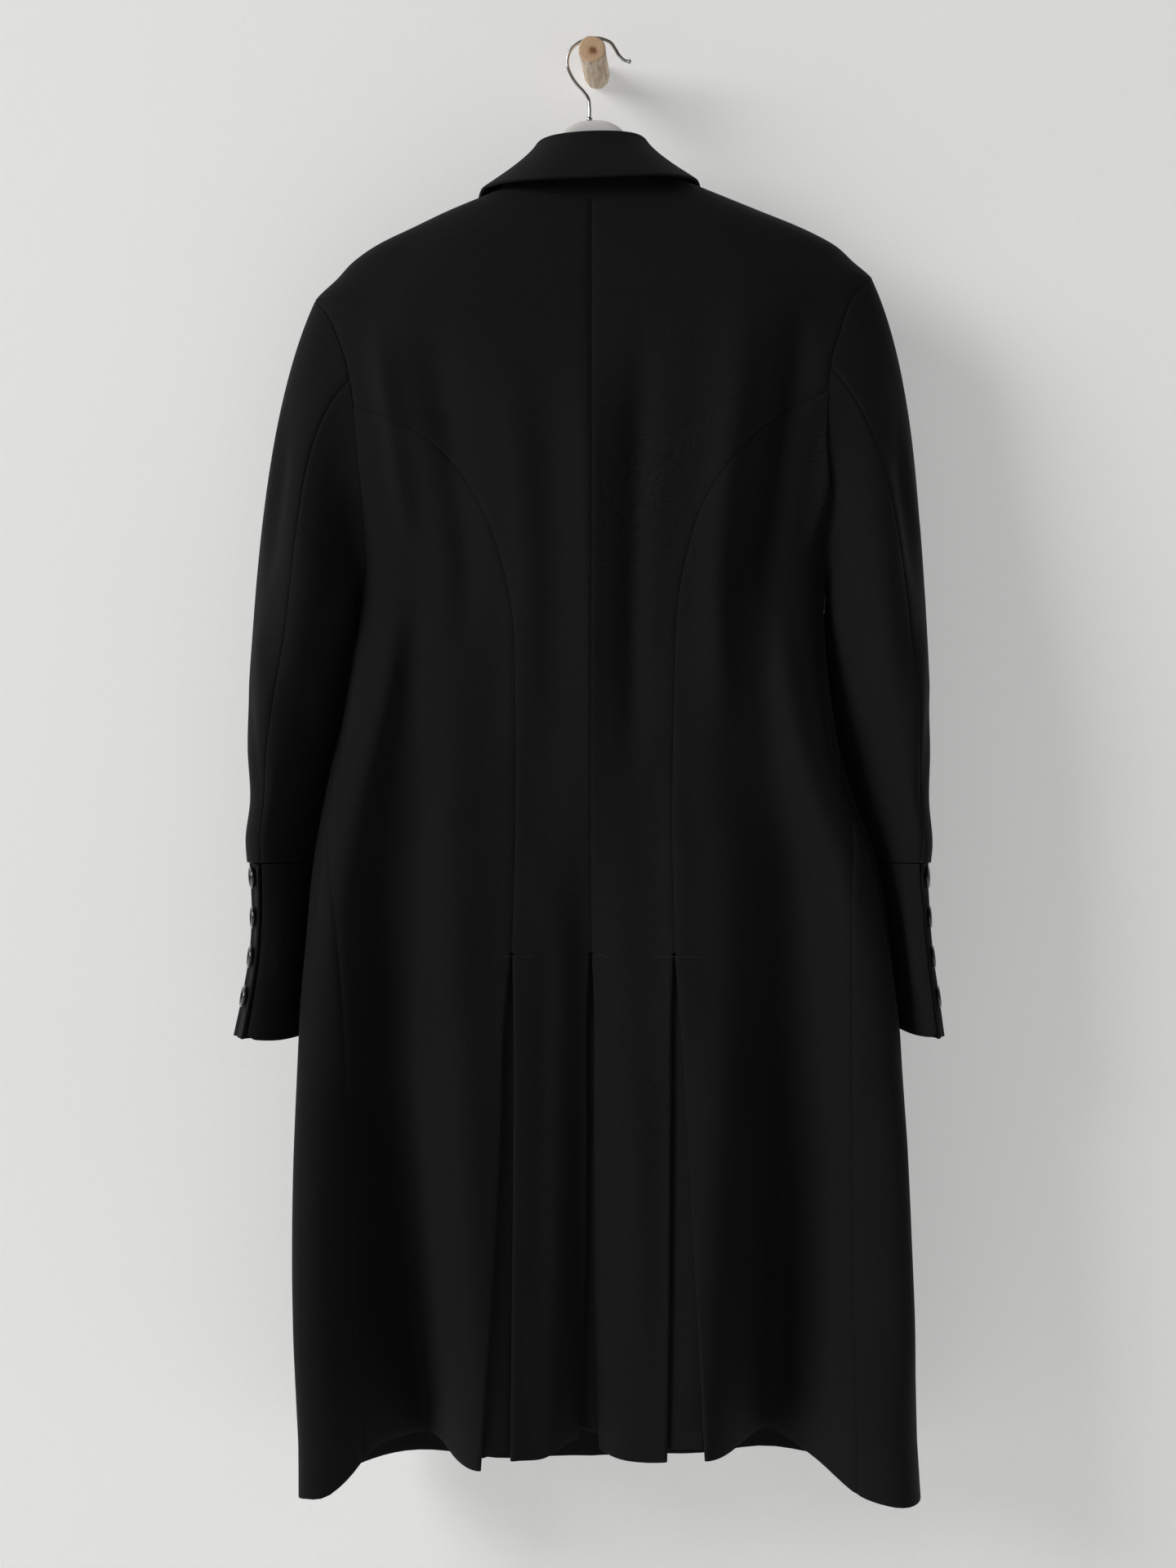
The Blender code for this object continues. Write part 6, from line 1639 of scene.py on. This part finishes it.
class Look:
    """A Principled material, with short ways to add nodes and to link them into its shader"""

    def __init__(self, name, uniform):
        self.material = bpy.data.materials.new(name)
        self.material.use_nodes = True
        self.tree = self.material.node_tree
        self.shader = self.tree.nodes["Principled BSDF"]
        for socket, value in uniform.items():
            self.shader.inputs[socket].default_value = value

    def node(self, kind, inputs=None, **settings):
        return add_node(self.tree, kind, inputs, **settings)

    def into(self, socket, value):
        """Links a node's output into the shader"""
        self.tree.links.new(value, self.shader.inputs[socket])

    def place(self):
        """Places in the piece's own metres"""
        return self.node("ShaderNodeTexCoord").outputs["Object"]

    def noise(self, place, scale, detail=2.0, **more):
        """Soft random values over places"""
        inputs = {"Vector": place, "Scale": scale, "Detail": detail, **more}
        return self.node("ShaderNodeTexNoise", inputs).outputs["Fac"]

    def waves(self, place, scale, distortion, detail_scale=1.0, **settings):
        """Regular bands or rings over places, a little disturbed"""
        inputs = {"Vector": place, "Scale": scale, "Distortion": distortion,
                  "Detail Scale": detail_scale}
        return self.node("ShaderNodeTexWave", inputs, **settings).outputs["Fac"]

    def scaled(self, value, factor, start):
        """A value times a factor, on top of a start"""
        inputs = {0: value, 1: factor, 2: start}
        return self.node("ShaderNodeMath", inputs, operation="MULTIPLY_ADD").outputs[0]

    def ramp(self, factor, *stops):
        """A colour ramp through stops of a place and a colour"""
        made = self.node("ShaderNodeValToRGB", {"Fac": factor})
        elements = made.color_ramp.elements
        while len(elements) < len(stops):
            elements.new(0.5)
        for element, (place, colour) in zip(elements, stops):
            element.position = place
            element.color = (*colour, 1)
        return made.outputs["Color"]

    def multiplied(self, first, second, share):
        """A colour darkened by a share of a second one"""
        inputs = {"Factor": share, 6: first, 7: second}
        mixed = self.node("ShaderNodeMix", inputs, data_type="RGBA", blend_type="MULTIPLY")
        return mixed.outputs[2]

    def bump(self, height, strength, distance):
        """Fine relief from a height"""
        inputs = {"Height": height, "Strength": strength, "Distance": distance}
        self.into("Normal", self.node("ShaderNodeBump", inputs).outputs["Normal"])


def twill_cloth():
    """Black wool twill: steep fine ribs on the cloth's own lie, a soft nap and faint unevenness"""
    look = Look("black wool twill", {"Specular IOR Level": 0.10, "Sheen Weight": CLOTH_SHEEN,
                                     "Sheen Roughness": 0.45, "Sheen Tint": (0.85, 0.88, 1.0, 1)})
    lie = look.node("ShaderNodeUVMap", uv_map=LIE).outputs["UV"]
    leant = look.node("ShaderNodeMapping", {"Vector": lie, "Rotation": (0, 0, math.radians(TWILL_LEAN))})
    leant = leant.outputs["Vector"]
    ribs = look.waves(leant, WAVE_LENGTH / TWILL_PITCH, 8.0, bands_direction="X")
    yarns = look.waves(leant, WAVE_LENGTH / YARN_PITCH, 6.0, bands_direction="Y")
    nap, uneven = look.noise(lie, 1500.0, 3.0), look.noise(lie, 9.0, 3.0)
    weave = look.scaled(ribs, 0.75, look.scaled(yarns, 0.25, 0.0))
    colour = look.ramp(look.scaled(nap, 0.35, weave), (0.25, CLOTH_DARK), (1.0, CLOTH_LIGHT))
    tone = look.scaled(look.noise(lie, 420.0), 0.8, look.scaled(uneven, 0.5, 0.35))
    shade = look.node("ShaderNodeVectorMath", {0: colour, "Scale": tone}, operation="SCALE")
    look.into("Base Color", shade.outputs["Vector"])
    look.into("Roughness", look.scaled(uneven, 0.12, 0.80))
    look.bump(look.scaled(nap, 0.4, weave), 0.45, 0.00018)
    return look.material


def button_horn():
    """Glossy black button stock with faint cloudy grain"""
    look = Look("black button horn", {"Coat Weight": 0.6, "Coat Roughness": 0.08})
    place = look.place()
    cloud = look.noise(place, 160.0, 4.0, Distortion=0.6)
    look.into("Base Color", look.ramp(cloud, (0.35, (0.006, 0.006, 0.007)), (0.75, (0.020, 0.019, 0.020))))
    look.into("Roughness", look.scaled(look.noise(place, 900.0), 0.10, 0.12))
    look.bump(cloud, 0.25, 0.0002)
    return look.material


def sewing_thread():
    """Black sewing thread, with the slant of its plies"""
    look = Look("black sewing thread", {"Roughness": 0.55})
    plies = look.waves(look.place(), 420.0, 1.0, bands_direction="DIAGONAL")
    look.into("Base Color", look.ramp(plies, (0.2, (0.010, 0.010, 0.012)), (0.9, (0.030, 0.030, 0.034))))
    look.bump(plies, 0.5, 0.0001)
    return look.material


def moulded_white():
    """Off-white moulded plastic with a fine eggshell surface"""
    look = Look("off-white moulded plastic", {})
    place = look.place()
    tone = look.noise(place, 14.0, 3.0)
    look.into("Base Color", look.ramp(tone, (0.3, (0.86, 0.85, 0.83)), (0.7, (0.91, 0.90, 0.88))))
    look.into("Roughness", look.scaled(tone, 0.2, 0.36))
    look.bump(look.noise(place, 700.0, 3.0), 0.35, 0.00012)
    return look.material


def bright_wire():
    """Plated steel wire with drawn lines and slight dulling"""
    look = Look("bright plated wire", {"Metallic": 1.0})
    place = look.place()
    dull = look.noise(place, 60.0, 5.0)
    look.into("Base Color", look.ramp(dull, (0.3, (0.50, 0.49, 0.48)), (0.7, (0.68, 0.67, 0.66))))
    look.into("Roughness", look.scaled(dull, 0.25, 0.10))
    look.bump(look.noise(place, 2200.0), 0.15, 0.00005)
    return look.material


def branch_side():
    """The peg's side: bare pale branch wood with long grain, flecks and small dark marks"""
    look = Look("bare branch wood", {})
    place = look.place()
    along = look.node("ShaderNodeMapping", {"Vector": place, "Scale": (1.0, 0.09, 1.0)}).outputs["Vector"]
    grain = look.noise(along, 420.0, 6.0, Distortion=0.5)
    blotch = look.noise(along, 120.0, 4.0, Roughness=0.6)
    marks = look.noise(place, 150.0, 5.0, Roughness=0.75)
    base = look.ramp(blotch, (0.34, (0.60, 0.42, 0.28)), (0.52, (0.86, 0.69, 0.51)),
                     (0.66, (0.95, 0.84, 0.70)))
    fine = look.ramp(grain, (0.36, (0.58, 0.48, 0.40)), (0.54, WHITE))
    spots = look.ramp(marks, (0.28, (0.45, 0.36, 0.30)), (0.38, WHITE))
    look.into("Base Color", look.multiplied(look.multiplied(base, fine, 0.75), spots, 0.8))
    look.into("Roughness", look.scaled(grain, 0.25, 0.52))
    look.bump(grain, 0.6, 0.0004)
    return look.material


def branch_end():
    """The peg's sawn end: pale rings about a darker heart a little below the middle"""
    look = Look("sawn branch end", {"Roughness": 0.7})
    place = look.place()
    centred = look.node("ShaderNodeMapping", {"Vector": place, "Location": HEART_SHIFT}).outputs["Vector"]
    rings = look.waves(centred, 230.0, 2.2, 1.2, wave_type="RINGS", rings_direction="Y")
    flat = look.node("ShaderNodeVectorMath", {0: centred, 1: (1.0, 0.0, 1.0)}, operation="MULTIPLY")
    wander = look.node("ShaderNodeTexNoise", {"Vector": place, "Scale": 260.0, "Detail": 3.0})
    moved = look.node("ShaderNodeVectorMath",
                      {0: wander.outputs["Color"], 1: (HEART_WANDER, 0.0, HEART_WANDER),
                       2: flat.outputs["Vector"]}, operation="MULTIPLY_ADD")
    moved = look.node("ShaderNodeVectorMath",
                      {0: moved.outputs["Vector"], 1: (HEART_WANDER / 2, 0.0, HEART_WANDER / 2)},
                      operation="SUBTRACT")
    away = look.node("ShaderNodeVectorMath", {0: moved.outputs["Vector"]}, operation="LENGTH")
    heart = look.node("ShaderNodeMapRange", {"Value": away.outputs["Value"], "From Min": 0.0016,
                                             "From Max": 0.0062, "To Min": 0.0, "To Max": 1.0})
    pale = look.ramp(rings, (0.2, (0.66, 0.44, 0.27)), (0.8, (0.82, 0.58, 0.38)))
    speck = look.noise(place, 900.0, 4.0)
    flecks = look.ramp(speck, (0.35, (0.78, 0.74, 0.70)), (0.6, WHITE))
    toned = look.ramp(heart.outputs["Result"], (0.0, (0.34, 0.22, 0.15)), (0.35, (0.62, 0.50, 0.42)),
                      (0.6, (0.86, 0.80, 0.76)), (1.0, WHITE))
    look.into("Base Color", look.multiplied(look.multiplied(pale, toned, 1.0), flecks, 0.8))
    look.bump(speck, 0.4, 0.0003)
    return look.material


def painted_wall():
    """Pale painted plaster with a faint roller texture, clear when seen from behind"""
    look = Look("pale painted wall", {"Roughness": 0.9, "Specular IOR Level": 0.15,
                                      "Emission Color": (*WALL_HIGH, 1), "Emission Strength": WALL_GLOW})
    place = look.place()
    look.into("Base Color", look.ramp(look.noise(place, 1.3, 3.0), (0.3, WALL_LOW), (0.7, WALL_HIGH)))
    look.bump(look.noise(place, 160.0, 4.0, Roughness=0.6), 0.18, 0.0012)
    behind = look.node("ShaderNodeNewGeometry").outputs["Backfacing"]
    clear = look.node("ShaderNodeMixShader", {0: behind, 1: look.shader.outputs["BSDF"],
                                              2: look.node("ShaderNodeBsdfTransparent").outputs["BSDF"]})
    look.tree.links.new(clear.outputs["Shader"], look.tree.nodes["Material Output"].inputs["Surface"])
    return look.material


# Stage, light and camera

def stage_plane(name, corners, material):
    """A flat part of the room"""
    data = bpy.data.meshes.new(name)
    data.from_pydata(corners, [], [(0, 1, 2, 3)])
    data.materials.append(material)
    put(name, data)


def area_light(name, place, target, width, height, power, spread, colour):
    """A soft light that faces a target"""
    light = bpy.data.lights.new(name, "AREA")
    light.shape = "RECTANGLE"
    light.size = width
    light.size_y = height
    light.energy = power
    light.spread = math.radians(spread)
    light.color = colour
    lamp = put(name, light)
    lamp.location = place
    lamp.rotation_euler = (Vector(target) - Vector(place)).to_track_quat("-Z", "Y").to_euler()


def make_stage():
    """The pale wall, a pale floor and soft daylight from the left"""
    plaster = painted_wall()
    stage_plane("wall", [(-4, 0, -1.6), (4, 0, -1.6), (4, 0, 2.2), (-4, 0, 2.2)], plaster)
    stage_plane("floor", [(-4, -6, -1.6), (4, -6, -1.6), (4, 0, -1.6), (-4, 0, -1.6)], plaster)
    world = bpy.data.worlds.new("room")
    bpy.context.scene.world = world
    world.use_nodes = True
    background = world.node_tree.nodes["Background"]
    background.inputs["Color"].default_value = (*ROOM_COLOUR, 1)
    background.inputs["Strength"].default_value = ROOM_STRENGTH
    for settings in LIGHTS:
        area_light(*settings)


def make_camera():
    """The photograph's view: level, a little below the coat's middle"""
    lens = bpy.data.cameras.new("camera")
    lens.sensor_width = CAMERA_SENSOR
    lens.lens = CAMERA_FOCUS / PHOTO_HEIGHT * CAMERA_SENSOR
    lens.clip_start = 0.05
    eye = put("camera", lens)
    eye.location = CAMERA_PLACE
    eye.rotation_euler = (math.radians(90), 0, 0)
    bpy.context.scene.camera = eye


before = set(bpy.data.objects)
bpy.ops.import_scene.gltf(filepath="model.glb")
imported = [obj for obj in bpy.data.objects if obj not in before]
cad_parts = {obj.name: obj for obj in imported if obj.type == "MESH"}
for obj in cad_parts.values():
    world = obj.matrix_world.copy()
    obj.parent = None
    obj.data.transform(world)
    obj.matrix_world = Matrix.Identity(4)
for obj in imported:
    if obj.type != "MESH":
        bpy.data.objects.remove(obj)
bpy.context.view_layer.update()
bpy.context.scene.view_settings.view_transform = "Standard"
TWILL, HORN, THREAD = twill_cloth(), button_horn(), sewing_thread()
HANGER_WHITE, WIRE = moulded_white(), bright_wire()
PEG_SIDE, PEG_END = branch_side(), branch_end()
make_camera()
make_stage()
edges = {}
for side in ("left", "right"):
    make_back(side, edges)
    make_side_back(side, edges)
    make_front(side)
    make_sleeve(side)
    make_cuff(side)
for name in PLEATS:
    make_underlay(name, edges)
make_collar()
make_buttons()
make_hanger()
make_hook()
make_peg()
make_stitches()
